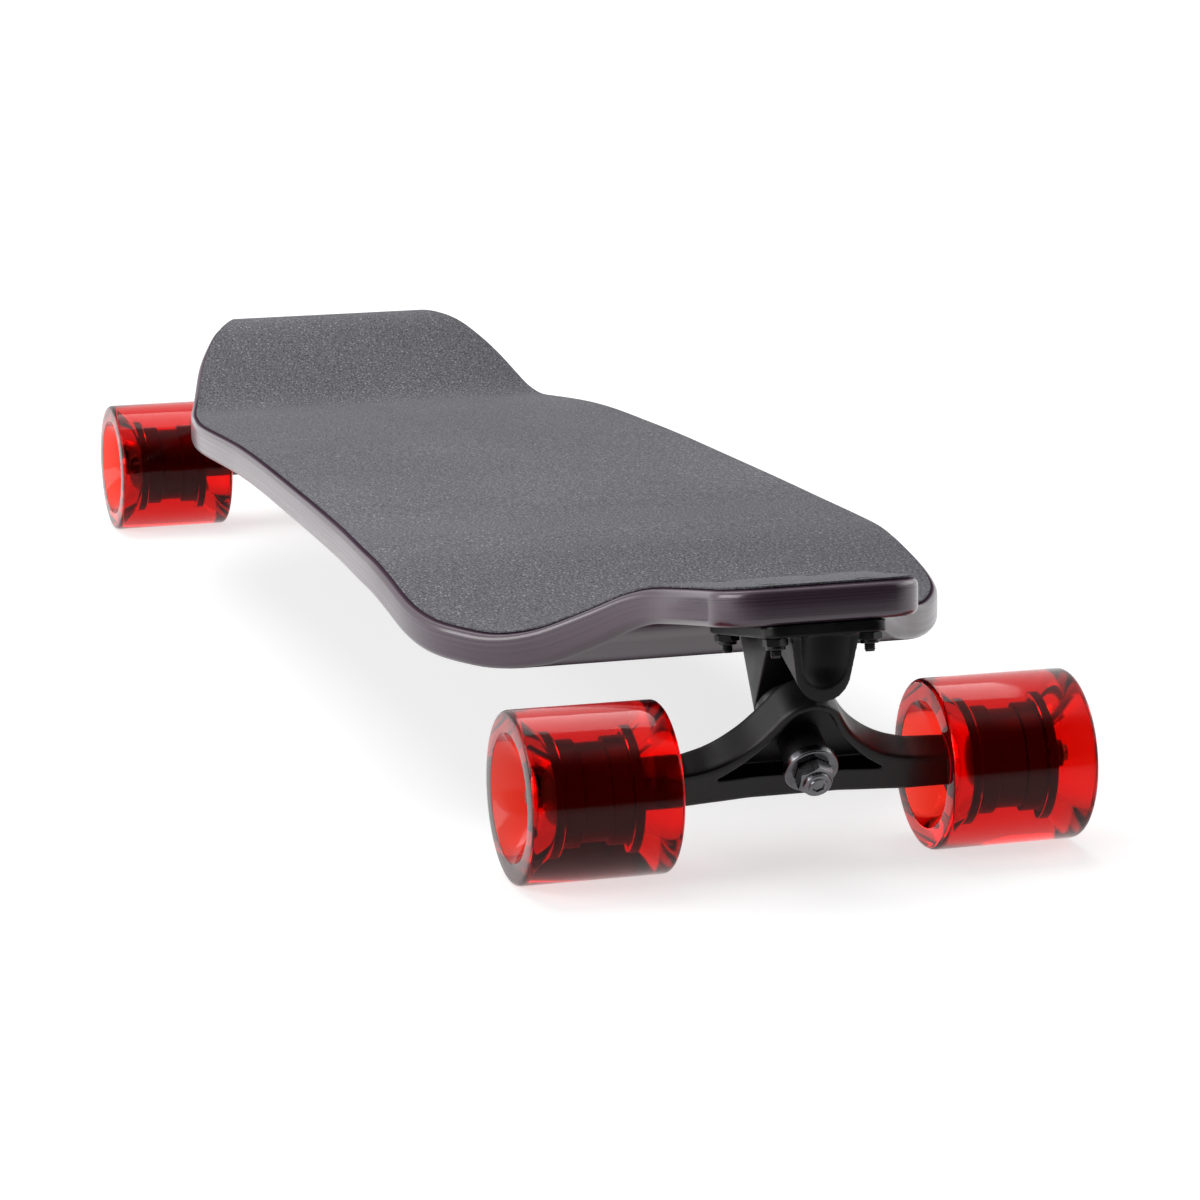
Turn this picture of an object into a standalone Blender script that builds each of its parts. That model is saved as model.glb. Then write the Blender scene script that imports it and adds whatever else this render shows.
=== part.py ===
"""Drop-deck longboard on two reverse-kingpin trucks, built as separate named pieces.

Metres, +Z up, +X towards the nose, ground at z = 0, origin under the middle of the wheelbase.
Each truck is drawn in its own frame: origin on the axle, x outboard, y across, z up.
"""
import math

import bmesh
import bpy
from mathutils import Matrix, Vector

MM = 0.001
GAP = 0.3 * MM

# Wheels
WHEEL_RADIUS = 37.0 * MM
WHEEL_WIDTH = 66.0 * MM
WHEEL_CORNER = 2.5 * MM
WHEEL_FACE_RATIO = 0.75
TRACK = 185.0 * MM
WHEELBASE = 866.0 * MM

# Wheel cores and bearings
CORE_WIDTH = 38.0 * MM
CORE_FLANGE_RADIUS = 17.0 * MM
CORE_FLANGE_WIDTH = 4.0 * MM
CORE_SHOULDER_RADIUS = 14.5 * MM
CORE_GROOVE_RADIUS = 13.25 * MM
CORE_GROOVE_WIDTH = 13.0 * MM
BEARING_RADIUS = 11.0 * MM
BEARING_WIDTH = 7.0 * MM
BEARING_RECESS = 4.5 * MM
CORE_COUNTERBORE = 13.5 * MM
CORE_BORE = 8.6 * MM
SPACER_RADIUS = 5.8 * MM
SPEED_RING = 1.3 * MM
AXLE_RADIUS = 3.85 * MM
PIN_CHAMFER = 0.6 * MM

# Deck
NECK_OVERHANG = 46.0 * MM
DECK_THICKNESS = 15.5 * MM
DECK_EDGE_RADIUS = 3.2 * MM
DECK_CORNER_RADIUS = 22.0 * MM
PLATFORM_HEIGHT = 98.4 * MM
REAR_CAMBER = 9.5 * MM
FRONT_CAMBER = 4.0 * MM
FRONT_DROOP = 10.0 * MM
NECK_HEIGHT = 120.4 * MM
NECK_TILT = math.radians(9.5)
RAMP_ANGLE = math.radians(29.0)
REAR_RAMP_HEIGHT = 109.5 * MM
FRONT_RAMP_HEIGHT = 99.0 * MM
RAMP_FOOT_BLEND = 9.0 * MM
REAR_CREST_BLEND = 13.0 * MM
FRONT_CREST_BLEND = 5.0 * MM
GRIP_THICKNESS = 1.0 * MM
GRIP_INSET = 3.4 * MM

# How far inboard of the axles the deck's features lie
PLATFORM_RUN = 233.0 * MM
CAMBER_RUN = 148.0 * MM
DROOP_RUN = 133.0 * MM
REAR_RAMP_RUN = 92.0 * MM
FRONT_RAMP_RUN = 73.0 * MM
CREST_RUN = 28.0 * MM

# Cuts along the deck: even ones over the platform, closer ones over the ramps, close ones at the corners
PLATFORM_SPANS = 5
RAMP_SPANS = 16
CORNER_SPANS = 4
SLOPE_STEP = 0.5 * MM

# Half-widths of the deck at distances inboard of each axle, in millimetres
REAR_HALF_WIDTHS_MM = (
    (-46, 46), (-2, 48.5), (23, 55), (46, 64), (67, 77), (88, 88.5), (113, 97.5), (133, 104),
    (158, 109), (203, 115.5), (313, 117),
)
FRONT_HALF_WIDTHS_MM = (
    (-46, 45.5), (18, 47.5), (38, 51.5), (58, 61.5), (73, 71.5), (88, 83.5), (105, 99), (123, 112),
    (148, 122.5), (203, 127), (313, 123.5),
)
MIDDLE_HALF_WIDTH = 120.0 * MM

# Trucks
PLATE_LENGTH = 82.0 * MM
PLATE_WIDTH = 54.0 * MM
PLATE_THICKNESS = 5.0 * MM
PLATE_CORNER = 7.0 * MM
PLATE_OFFSET = 2.0 * MM
HOLE_SPACING_LONG = 63.5 * MM
HOLE_SPACING_WIDE = 41.28 * MM
KINGPIN_DIP = math.radians(32.0)
KINGPIN_LIFT = 19.0 * MM
KINGPIN_RADIUS = 4.75 * MM
RING_BACK = -8.5 * MM
RING_FRONT = -2.5 * MM
RING_BORE = 8.0 * MM
SEAT_DEPTH = -24.0 * MM
SEAT_RADIUS = 13.5 * MM
KINGPIN_TIP = 26.4 * MM
KINGPIN_ROOT = -40.0 * MM
KINGPIN_SOCKET_RADIUS = 2.6 * MM
KINGPIN_SOCKET_DEPTH = 6.0 * MM
WASHER_THICKNESS = 1.8 * MM
WASHER_LIP = 2.4 * MM
WASHER_RIM = 1.4 * MM
BUSHING_RADIUS = 11.8 * MM
ROADSIDE_BASE_RADIUS = 9.4 * MM
ROADSIDE_TIP_RADIUS = 10.2 * MM
ROADSIDE_WASHER_START = 15.2 * MM
NUT_START = 17.3 * MM
NUT_HEIGHT = 8.5 * MM
NUT_FLATS = 14.3 * MM
PIVOT_X = -22.5 * MM
PIVOT_Z = -0.5 * MM
STUB_RADIUS = 5.5 * MM
STUB_LENGTH = 26.0 * MM
STUB_CHAMFER = 2.0 * MM
CUP_WALL = 1.2 * MM
CUP_DEPTH = 5.7 * MM
HOUSING_WALL = 1.7 * MM

# Baseplate castings: the tower round the pivot cup, the boss under the kingpin and the rounded nose
TOWER_HALF_WIDTH = 13.5 * MM
TOWER_HALF_DEPTH = 9.0 * MM
TOWER_FOOT_INSET = 5.0 * MM
TOWER_FOOT_LIFT = 3.0 * MM
TOWER_FOOT_BACK = 6.5 * MM
TOWER_FOOT_FRONT = 1.0 * MM
BOSS_FRONT = 11.0 * MM
NOSE_HALF_WIDTH = 15.5 * MM
NOSE_RADIUS = 12.0 * MM
NOSE_FRONT = 42.0 * MM
NOSE_BACK = 12.0 * MM
NOSE_BOTTOM = 40.0 * MM
NOSE_LEAN = 3.0 * MM
NOSE_LEAST_DEPTH = 1.0 * MM

# Hanger outline on one side, across and up in the kingpin ring's plane, in millimetres
HANGER_OUTLINE_MM = (
    (0, 46.5), (7, 44.3), (12, 40), (16, 33.5), (20.5, 27), (26, 21.5), (33.5, 16.5), (41, 13.5), (50, 12))
HANGER_POCKET_MM = (
    (0, 43.5), (5.5, 41.7), (9.5, 37.5), (13, 31), (17.5, 24.5), (23, 18.5), (29.5, 12.5), (37, 7.6))
HANGER_END_HEIGHT = 10.5 * MM
HANGER_BOTTOM = -7.2 * MM
HANGER_POCKET_FLOOR = 6.4 * MM
HANGER_BACK = -13.0 * MM
HANGER_FRONT = 5.5 * MM
HANGER_END_HALF_DEPTH = 7.5 * MM
HANGER_THINNING_START = 20.0 * MM
HANGER_THINNING_END = 50.0 * MM
HANGER_BEVEL = 2.0 * MM
HANGER_RIM_ANGLE = math.radians(60)
HANGER_SEAT_CLEARANCE = 1.8 * MM

# Deck bolts and axle nuts
BOLT_RADIUS = 2.4 * MM
BOLT_HEAD_RADIUS = 4.6 * MM
BOLT_HEAD_RIM = 0.6 * MM
BOLT_HEAD_CONE = 2.6 * MM
BOLT_NUT_FLATS = 9.5 * MM
BOLT_NUT_HEIGHT = 4.8 * MM
BOLT_PROTRUSION = 3.4 * MM
BOLT_SINK = 0.2 * MM
HOLE_OVERRUN = 2.0 * MM
AXLE_NUT_FLATS = 12.7 * MM
AXLE_NUT_HEIGHT = 7.5 * MM
AXLE_PROTRUSION = 1.6 * MM

# Facets round each turned piece
TYRE_SIDES = 24
CORE_SIDES = 16
SMALL_SIDES = 12
BUSHING_SIDES = 16
RAIL_STEPS = 2
TYRE_CORNER_STEPS = 2
PLATE_CORNER_STEPS = 3
HANGER_STEPS = 2
NOSE_STEPS = 8
MERGE_DISTANCE = 0.001 * MM
SHARP_ANGLE = math.radians(35.0)

# Sizes that follow from the ones above
AXLE_X = WHEELBASE / 2
AXLE_Z = WHEEL_RADIUS
WHEEL_Y = TRACK / 2
TIP_X = AXLE_X + NECK_OVERHANG
PLATFORM_END = AXLE_X - PLATFORM_RUN
LEVEL_HALF = PLATFORM_END / PLATFORM_SPANS
CAMBER_REACH = AXLE_X - CAMBER_RUN
DROOP_END = AXLE_X - DROOP_RUN
RAMP_END = AXLE_X - CREST_RUN
REAR_RAMP_X = REAR_RAMP_RUN - AXLE_X
FRONT_RAMP_X = AXLE_X - FRONT_RAMP_RUN
CORE_HALF = CORE_WIDTH / 2
HANGER_REACH = WHEEL_Y - CORE_HALF + BEARING_RECESS - SPEED_RING - GAP
KINGPIN_DIRECTION = Vector((math.cos(KINGPIN_DIP), 0, -math.sin(KINGPIN_DIP)))
RING_UP = Vector((math.sin(KINGPIN_DIP), 0, math.cos(KINGPIN_DIP)))
RING_CENTRE = KINGPIN_DIRECTION * (RING_BACK + RING_FRONT) / 2 + RING_UP * KINGPIN_LIFT
PIVOT_POINT = Vector((PIVOT_X, 0, PIVOT_Z))
STEERING_AXIS = (RING_CENTRE - PIVOT_POINT).normalized()
CUP_RADIUS = STUB_RADIUS + GAP + CUP_WALL
HOUSING_RADIUS = CUP_RADIUS + GAP + HOUSING_WALL
GRIP_TOP = GAP + GRIP_THICKNESS
PLATE_TOP = -DECK_THICKNESS - GAP
PLATE_BOTTOM = PLATE_TOP - PLATE_THICKNESS
BOLT_TIP = PLATE_BOTTOM - GAP - BOLT_NUT_HEIGHT - BOLT_PROTRUSION


def clear_scene():
    """Remove everything that the file starts with."""
    for item in list(bpy.data.objects):
        bpy.data.objects.remove(item, do_unlink=True)


def material(name, colour, roughness, metallic=0.0, transmission=0.0):
    """Return a Principled material with these values."""
    made = bpy.data.materials.new(name)
    made.use_nodes = True
    shader = made.node_tree.nodes["Principled BSDF"]
    shader.inputs["Base Color"].default_value = (*colour, 1.0)
    shader.inputs["Roughness"].default_value = roughness
    shader.inputs["Metallic"].default_value = metallic
    shader.inputs["Transmission Weight"].default_value = transmission
    return made


def add_empty(name, matrix, parent=None):
    """Add an empty that carries moving pieces."""
    empty = bpy.data.objects.new(name, None)
    bpy.context.collection.objects.link(empty)
    place(empty, matrix, parent)
    return empty


def place(item, matrix, parent=None):
    """Stand an object at a world matrix, under a parent when there is one."""
    item["world"] = [value for row in matrix for value in row]
    if parent is None:
        item.matrix_basis = matrix
        return
    item.parent = parent
    stored = list(parent["world"])
    rows = [stored[start:start + 4] for start in range(0, 16, 4)]
    item.matrix_basis = Matrix(rows).inverted() @ matrix


def add_mesh(name, shape, finish, matrix=Matrix(), parent=None):
    """Turn a bmesh into a named object that stands at matrix."""
    bmesh.ops.remove_doubles(shape, verts=shape.verts, dist=MERGE_DISTANCE)
    bmesh.ops.recalc_face_normals(shape, faces=shape.faces)
    mesh = bpy.data.meshes.new(name)
    shape.to_mesh(mesh)
    shape.free()
    mesh.shade_smooth()
    mesh.set_sharp_from_angle(angle=SHARP_ANGLE)
    mesh.materials.append(finish)
    item = bpy.data.objects.new(name, mesh)
    bpy.context.collection.objects.link(item)
    place(item, matrix, parent)
    return item


def boolean(target, tool, operation):
    """Join a tool shape to a target, or cut it away, and hide the tool."""
    step = target.modifiers.new(tool.name, "BOOLEAN")
    step.operation = operation
    step.solver = "EXACT"
    step.object = tool
    tool.hide_render = True
    tool.display_type = "WIRE"


def turned(profile, sides, closed, into=None, matrix=Matrix()):
    """Spin (radius, height) points round Z; a closed profile is a ring, an open one ends on the axis."""
    shape = into or bmesh.new()
    step = 2 * math.pi / sides
    start = Matrix.Rotation(step / 2, 4, "Z")
    points = [shape.verts.new(matrix @ start @ Vector((radius, 0, height))) for radius, height in profile]
    pairs = list(zip(points, points[1:]))
    if closed:
        pairs.append((points[-1], points[0]))
    edges = [shape.edges.new(pair) for pair in pairs]
    bmesh.ops.spin(shape, geom=points + edges, cent=matrix.translation, axis=matrix.to_3x3().col[2],
                   angle=2 * math.pi, steps=sides, use_merge=True)
    return shape


def hull(points):
    """Return the convex hull of some points."""
    shape = bmesh.new()
    for point in points:
        shape.verts.new(point)
    made = bmesh.ops.convex_hull(shape, input=shape.verts)
    spare = [item for item in made["geom_interior"] if isinstance(item, bmesh.types.BMVert)]
    bmesh.ops.delete(shape, geom=spare, context="VERTS")
    return shape


def prism(outline, vector):
    """Extrude a flat outline of points along a vector."""
    shape = bmesh.new()
    face = shape.faces.new([shape.verts.new(point) for point in outline])
    made = bmesh.ops.extrude_face_region(shape, geom=[face])
    moved = [item for item in made["geom"] if isinstance(item, bmesh.types.BMVert)]
    bmesh.ops.translate(shape, verts=moved, vec=vector)
    return shape


def hex_nut(flats, height, bore):
    """Return a six-sided nut standing on z = 0 with a round bore."""
    corner = flats / 2 / math.cos(math.pi / 6)
    shape = bmesh.new()
    rings = []
    for radius, level in ((corner, 0), (corner, height), (bore, height), (bore, 0)):
        ring = []
        for side in range(SMALL_SIDES):
            angle = side * 2 * math.pi / SMALL_SIDES
            reach = radius
            if radius == corner and side % 2:
                reach = flats / 2
            ring.append(shape.verts.new((reach * math.cos(angle), reach * math.sin(angle), level)))
        rings.append(ring)
    for lower, upper in zip(rings, rings[1:] + rings[:1]):
        for side in range(SMALL_SIDES):
            after = (side + 1) % SMALL_SIDES
            shape.faces.new((lower[side], lower[after], upper[after], upper[side]))
    return shape


def smooth_through(points, steps):
    """Return points on a smooth curve through the given (across, up) points."""
    route = [points[0]] + list(points) + [points[-1]]
    made = []
    for before, start, end, after in zip(route, route[1:], route[2:], route[3:]):
        for index in range(steps):
            t = index / steps
            made.append(tuple(
                0.5 * (2 * b + (c - a) * t + (2 * a - 5 * b + 4 * c - d) * t ** 2
                       + (3 * b - a - 3 * c + d) * t ** 3)
                for a, b, c, d in zip(before, start, end, after)))
    made.append(tuple(points[-1]))
    return made


def blend_low(first, second, width):
    """Return the smaller of two heights, rounded over where they cross."""
    share = min(max(0.5 + 0.5 * (second - first) / width, 0.0), 1.0)
    return second + (first - second) * share - width * share * (1 - share)


def blend_high(first, second, width):
    """Return the larger of two heights, rounded over where they cross."""
    return -blend_low(-first, -second, width)


def neck_line(x):
    """Return the height of the neck plane at x; both necks rise towards the nose."""
    axle = math.copysign(AXLE_X, x)
    return NECK_HEIGHT + math.tan(NECK_TILT) * (x - axle)


def platform_line(x):
    """Return the height of the platform at x: level in the middle and bowed down to both ends."""
    beyond = max(abs(x) - LEVEL_HALF, 0.0) / (CAMBER_REACH - LEVEL_HALF)
    if x < 0:
        return PLATFORM_HEIGHT - REAR_CAMBER * beyond ** 2
    share = min(max((x - PLATFORM_END) / (DROOP_END - PLATFORM_END), 0.0), 1.0)
    return PLATFORM_HEIGHT - FRONT_CAMBER * beyond ** 2 - FRONT_DROOP * share ** 2 * (3 - 2 * share)


def deck_top(x):
    """Return the height of the deck's top surface at x."""
    if x < 0:
        ramp = REAR_RAMP_HEIGHT + math.tan(RAMP_ANGLE) * (REAR_RAMP_X - x)
        end = blend_low(ramp, neck_line(x), REAR_CREST_BLEND)
    else:
        ramp = FRONT_RAMP_HEIGHT + math.tan(RAMP_ANGLE) * (x - FRONT_RAMP_X)
        end = blend_low(ramp, neck_line(x), FRONT_CREST_BLEND)
    return blend_high(platform_line(x), end, RAMP_FOOT_BLEND)


def deck_stretch(x):
    """Return how much longer an upright cut through the deck is than a square one at x."""
    slope = (deck_top(x + SLOPE_STEP) - deck_top(x - SLOPE_STEP)) / (2 * SLOPE_STEP)
    return math.hypot(1, slope)


def deck_half_width(x):
    """Return half the deck's width at x, on a smooth curve through the tables' stations."""
    table = [(run * MM - AXLE_X, width * MM) for run, width in REAR_HALF_WIDTHS_MM]
    table.append((0.0, MIDDLE_HALF_WIDTH))
    table += [(AXLE_X - run * MM, width * MM) for run, width in reversed(FRONT_HALF_WIDTHS_MM)]
    spans = list(zip(table, table[1:]))
    slopes = [(b[1] - a[1]) / (b[0] - a[0]) for a, b in spans]
    tangents = [slopes[0]] + [(a + b) / 2 for a, b in zip(slopes, slopes[1:])] + [slopes[-1]]
    index = 0
    while index < len(spans) - 1 and x > spans[index][1][0]:
        index += 1
    (x0, w0), (x1, w1) = spans[index]
    length = x1 - x0
    t = min(max((x - x0) / length, 0.0), 1.0)
    return ((2 * t ** 3 - 3 * t ** 2 + 1) * w0 + (t ** 3 - 2 * t ** 2 + t) * length * tangents[index]
            + (3 * t ** 2 - 2 * t ** 3) * w1 + (t ** 3 - t ** 2) * length * tangents[index + 1])


def rounded_half_width(x, tip, corner, inset):
    """Return a half-width drawn in by inset, with round corners where it meets the tips."""
    width = deck_half_width(x) - inset
    short = corner - min(tip - abs(x), corner)
    return width - corner + math.sqrt(max(corner ** 2 - short ** 2, 0.0))


def deck_stations(tip, corner):
    """Return the cuts along the deck, closer together where it bends."""
    steps = [PLATFORM_END * (2 * index / PLATFORM_SPANS - 1) for index in range(PLATFORM_SPANS + 1)]
    for index in range(1, RAMP_SPANS + 1):
        reach = PLATFORM_END + (RAMP_END - PLATFORM_END) * index / RAMP_SPANS
        steps += [reach, -reach]
    for index in range(CORNER_SPANS + 1):
        reach = tip - corner * (1 - math.sin(index * math.pi / 2 / CORNER_SPANS))
        steps += [reach, -reach]
    return sorted(steps)


def loft(sections):
    """Skin a run of equal closed sections and cap both ends."""
    shape = bmesh.new()
    rings = [[shape.verts.new(point) for point in section] for section in sections]
    for first, second in zip(rings, rings[1:]):
        for index, vert in enumerate(first):
            after = (index + 1) % len(first)
            shape.faces.new((vert, first[after], second[after], second[index]))
    shape.faces.new(rings[0])
    shape.faces.new(rings[-1])
    return shape


def deck_section(x):
    """Return the deck's cut at x: flat top and bottom with rounded rails."""
    half = rounded_half_width(x, TIP_X, DECK_CORNER_RADIUS, 0.0)
    top = deck_top(x)
    depth = DECK_THICKNESS * deck_stretch(x)
    edge = DECK_EDGE_RADIUS
    rail = []
    for centre, first in ((top - edge, 90), (top - depth + edge, 0)):
        for step in range(RAIL_STEPS + 1):
            angle = math.radians(first - 90 * step / RAIL_STEPS)
            rail.append((half - edge + edge * math.cos(angle), centre + edge * math.sin(angle)))
    left = [Vector((x, y, z)) for y, z in rail]
    right = [Vector((x, -y, z)) for y, z in reversed(rail)]
    return left + right


def grip_section(x):
    """Return the grip sheet's cut at x, just above the deck."""
    tip = TIP_X - GRIP_INSET
    half = rounded_half_width(x, tip, DECK_CORNER_RADIUS - GRIP_INSET, GRIP_INSET)
    stretch = deck_stretch(x)
    low = deck_top(x) + GAP * stretch
    high = deck_top(x) + GRIP_TOP * stretch
    corners = ((half, high), (half, low), (-half, low), (-half, high))
    return [Vector((x, y, z)) for y, z in corners]


def neck_frame(end):
    """Return the frame on a neck's top over its baseplate; end is 1 at the nose and -1 at the tail."""
    x = end * (AXLE_X + PLATE_OFFSET)
    return Matrix.Translation((x, 0, neck_line(x))) @ Matrix.Rotation(-NECK_TILT, 4, "Y")


def truck_frame(end):
    """Return the frame of a truck, with its x outboard."""
    turn = 0 if end > 0 else math.pi
    return Matrix.Translation((end * AXLE_X, 0, AXLE_Z)) @ Matrix.Rotation(turn, 4, "Z")


def bolt_frames(end):
    """Return the named frames of the four deck bolts at one end."""
    frames = {}
    for along, lengthwise in ((1, "nose"), (-1, "tail")):
        for across, side in ((1, "left"), (-1, "right")):
            shift = Matrix.Translation((along * HOLE_SPACING_LONG / 2, across * HOLE_SPACING_WIDE / 2, 0))
            frames[f"{lengthwise}_{side}"] = neck_frame(end) @ shift
    return frames


def bolt_profile(spread):
    """Return a countersunk bolt's (radius, height) outline, grown by spread."""
    top = GRIP_TOP - BOLT_SINK
    lift = HOLE_OVERRUN if spread else 0.0
    rim = top - BOLT_HEAD_RIM
    return [(0, top + lift), (BOLT_HEAD_RADIUS + spread, top + lift), (BOLT_HEAD_RADIUS + spread, rim),
            (BOLT_RADIUS + spread, rim - BOLT_HEAD_CONE), (BOLT_RADIUS + spread, BOLT_TIP - lift),
            (0, BOLT_TIP - lift)]


def build_deck(finishes):
    """Make the deck, its grip sheet and their bolt holes."""
    deck = add_mesh("deck", loft([deck_section(x) for x in deck_stations(TIP_X, DECK_CORNER_RADIUS)]),
                    finishes["rail"])
    tip = TIP_X - GRIP_INSET
    stations = deck_stations(tip, DECK_CORNER_RADIUS - GRIP_INSET)
    grip = add_mesh("grip_tape", loft([grip_section(x) for x in stations]), finishes["grip"])
    holes = bmesh.new()
    for end in (1, -1):
        for frame in bolt_frames(end).values():
            turned(bolt_profile(GAP), SMALL_SIDES, False, into=holes, matrix=frame)
    cutter = add_mesh("bolt_hole_cutter", holes, finishes["metal"])
    boolean(deck, cutter, "DIFFERENCE")
    boolean(grip, cutter, "DIFFERENCE")


def build_bolts(end, prefix, finishes):
    """Make the deck bolts and nuts at one end."""
    for name, frame in bolt_frames(end).items():
        bolt = turned(bolt_profile(0.0), SMALL_SIDES - 2, False)
        add_mesh(f"{prefix}_bolt_{name}", bolt, finishes["metal"], frame)
        nut = hex_nut(BOLT_NUT_FLATS, BOLT_NUT_HEIGHT, BOLT_RADIUS + GAP)
        under = Matrix.Translation((0, 0, PLATE_BOTTOM - GAP - BOLT_NUT_HEIGHT))
        add_mesh(f"{prefix}_bolt_nut_{name}", nut, finishes["metal"], frame @ under)


def kingpin_frame():
    """Return the truck-frame axes of the kingpin: z along it, outboard and down, from the ring's plane."""
    across = KINGPIN_DIRECTION.cross(RING_UP)
    axes = Matrix((RING_UP, across, KINGPIN_DIRECTION)).transposed()
    return Matrix.Translation(RING_UP * KINGPIN_LIFT) @ axes.to_4x4()


def steering_frame():
    """Return the truck-frame axes of the steering axis: z from the pivot point to the ring's centre."""
    across = Vector((0, 1, 0))
    axes = Matrix((across.cross(STEERING_AXIS), across, STEERING_AXIS)).transposed()
    return Matrix.Translation(PIVOT_POINT) @ axes.to_4x4()


def circle(frame, radius, height, sides):
    """Return points round a circle in a frame."""
    points = []
    for side in range(sides):
        angle = (side + 0.5) * 2 * math.pi / sides
        points.append(frame @ Vector((radius * math.cos(angle), radius * math.sin(angle), height)))
    return points


def plate_level(end, x):
    """Return the height of the middle of the mounting flange at x in the truck's frame."""
    middle = (PLATE_TOP + PLATE_BOTTOM) / 2 / math.cos(NECK_TILT)
    return NECK_HEIGHT - AXLE_Z + end * math.tan(NECK_TILT) * x + middle


def build_flange(end, name, finish):
    """Make the flat mounting flange of a baseplate, with round corners."""
    outline = []
    for quarter in range(4):
        angle = quarter * math.pi / 2
        sign_x = 1 if quarter in (0, 3) else -1
        sign_y = 1 if quarter in (0, 1) else -1
        for step in range(PLATE_CORNER_STEPS + 1):
            turn = angle + math.pi / 2 * step / PLATE_CORNER_STEPS
            outline.append(Vector((
                sign_x * (PLATE_LENGTH / 2 - PLATE_CORNER) + PLATE_CORNER * math.cos(turn),
                sign_y * (PLATE_WIDTH / 2 - PLATE_CORNER) + PLATE_CORNER * math.sin(turn), PLATE_BOTTOM)))
    return add_mesh(name, prism(outline, Vector((0, 0, PLATE_THICKNESS))), finish, neck_frame(end))


def build_baseplate(end, prefix, finishes):
    """Make a baseplate of flange, pivot tower, kingpin boss and nose, bored for the kingpin and cup."""
    finish = finishes["truck"]
    truck = truck_frame(end)
    plate = build_flange(end, f"{prefix}_baseplate", finish)
    back = PIVOT_X - TOWER_HALF_DEPTH
    front = PIVOT_X + TOWER_HALF_DEPTH
    sides = (-TOWER_HALF_WIDTH, TOWER_HALF_WIDTH)
    foot = HOUSING_RADIUS - TOWER_FOOT_INSET
    foot_ends = (PIVOT_X - TOWER_FOOT_BACK, PIVOT_X - TOWER_FOOT_FRONT)
    tower = [Vector((x, y, plate_level(end, x))) for x in (back, front) for y in sides]
    tower += [Vector((x, y, PIVOT_Z + TOWER_FOOT_LIFT)) for x in foot_ends for y in (-foot, foot)]
    steering = steering_frame()
    housing = [(0, CUP_DEPTH), (HOUSING_RADIUS, CUP_DEPTH), (HOUSING_RADIUS, -CUP_DEPTH - HOUSING_WALL),
               (0, -CUP_DEPTH - HOUSING_WALL)]
    kingpin = kingpin_frame()
    boss = circle(kingpin, SEAT_RADIUS, SEAT_DEPTH, 2 * SMALL_SIDES)
    boss += [Vector((x, y, plate_level(end, x))) for x in (back, BOSS_FRONT) for y in sides]
    shapes = {"tower": hull(tower), "housing": turned(housing, 2 * SMALL_SIDES, False, matrix=steering),
              "boss": hull(boss), "nose": hull(nose_points(end))}
    for part, shape in shapes.items():
        boolean(plate, add_mesh(f"{prefix}_{part}_shape", shape, finish, truck), "UNION")
    bores = bmesh.new()
    turned([(0, SEAT_DEPTH + GAP), (KINGPIN_RADIUS + GAP, SEAT_DEPTH + GAP),
            (KINGPIN_RADIUS + GAP, KINGPIN_ROOT - GAP), (0, KINGPIN_ROOT - GAP)], SMALL_SIDES, False,
           into=bores, matrix=kingpin)
    turned([(0, 2 * CUP_DEPTH), (CUP_RADIUS + GAP, 2 * CUP_DEPTH), (CUP_RADIUS + GAP, -CUP_DEPTH - GAP),
            (0, -CUP_DEPTH - GAP)], BUSHING_SIDES, False, into=bores, matrix=steering)
    boolean(plate, add_mesh(f"{prefix}_bore_cutter", bores, finish, truck), "DIFFERENCE")
    holes = bmesh.new()
    for frame in bolt_frames(end).values():
        turned([(0, 0), (BOLT_RADIUS + GAP, 0), (BOLT_RADIUS + GAP, BOLT_TIP), (0, BOLT_TIP)], SMALL_SIDES,
               False, into=holes, matrix=frame)
    boolean(plate, add_mesh(f"{prefix}_plate_hole_cutter", holes, finish), "DIFFERENCE")


def nose_points(end):
    """Return points on the rounded nose that hangs from the outboard end of the flange."""
    points = []
    for x, lean in ((NOSE_BACK, 0.0), (NOSE_FRONT, NOSE_LEAN)):
        level = plate_level(end, x)
        bottom = min(NOSE_BOTTOM + (NOSE_FRONT - x) * math.tan(KINGPIN_DIP), level - NOSE_LEAST_DEPTH)
        drop = min(NOSE_RADIUS, level - bottom)
        points += [Vector((x, y, level)) for y in (-NOSE_HALF_WIDTH, NOSE_HALF_WIDTH)]
        for step in range(NOSE_STEPS + 1):
            angle = math.pi * (1 + step / NOSE_STEPS)
            across = NOSE_RADIUS * math.cos(angle)
            points.append(Vector((x - lean, across, bottom + drop + drop * math.sin(angle))))
    return points


def build_pivot_cup(prefix, truck, finishes):
    """Make the soft cup that the hanger's pivot turns in."""
    inner = STUB_RADIUS + GAP
    floor = -CUP_DEPTH + CUP_WALL
    profile = [(0, floor), (inner, floor), (inner, CUP_DEPTH), (CUP_RADIUS, CUP_DEPTH),
               (CUP_RADIUS, -CUP_DEPTH), (0, -CUP_DEPTH)]
    add_mesh(f"{prefix}_pivot_cup", turned(profile, BUSHING_SIDES, False), finishes["cup"],
             truck @ steering_frame())


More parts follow.
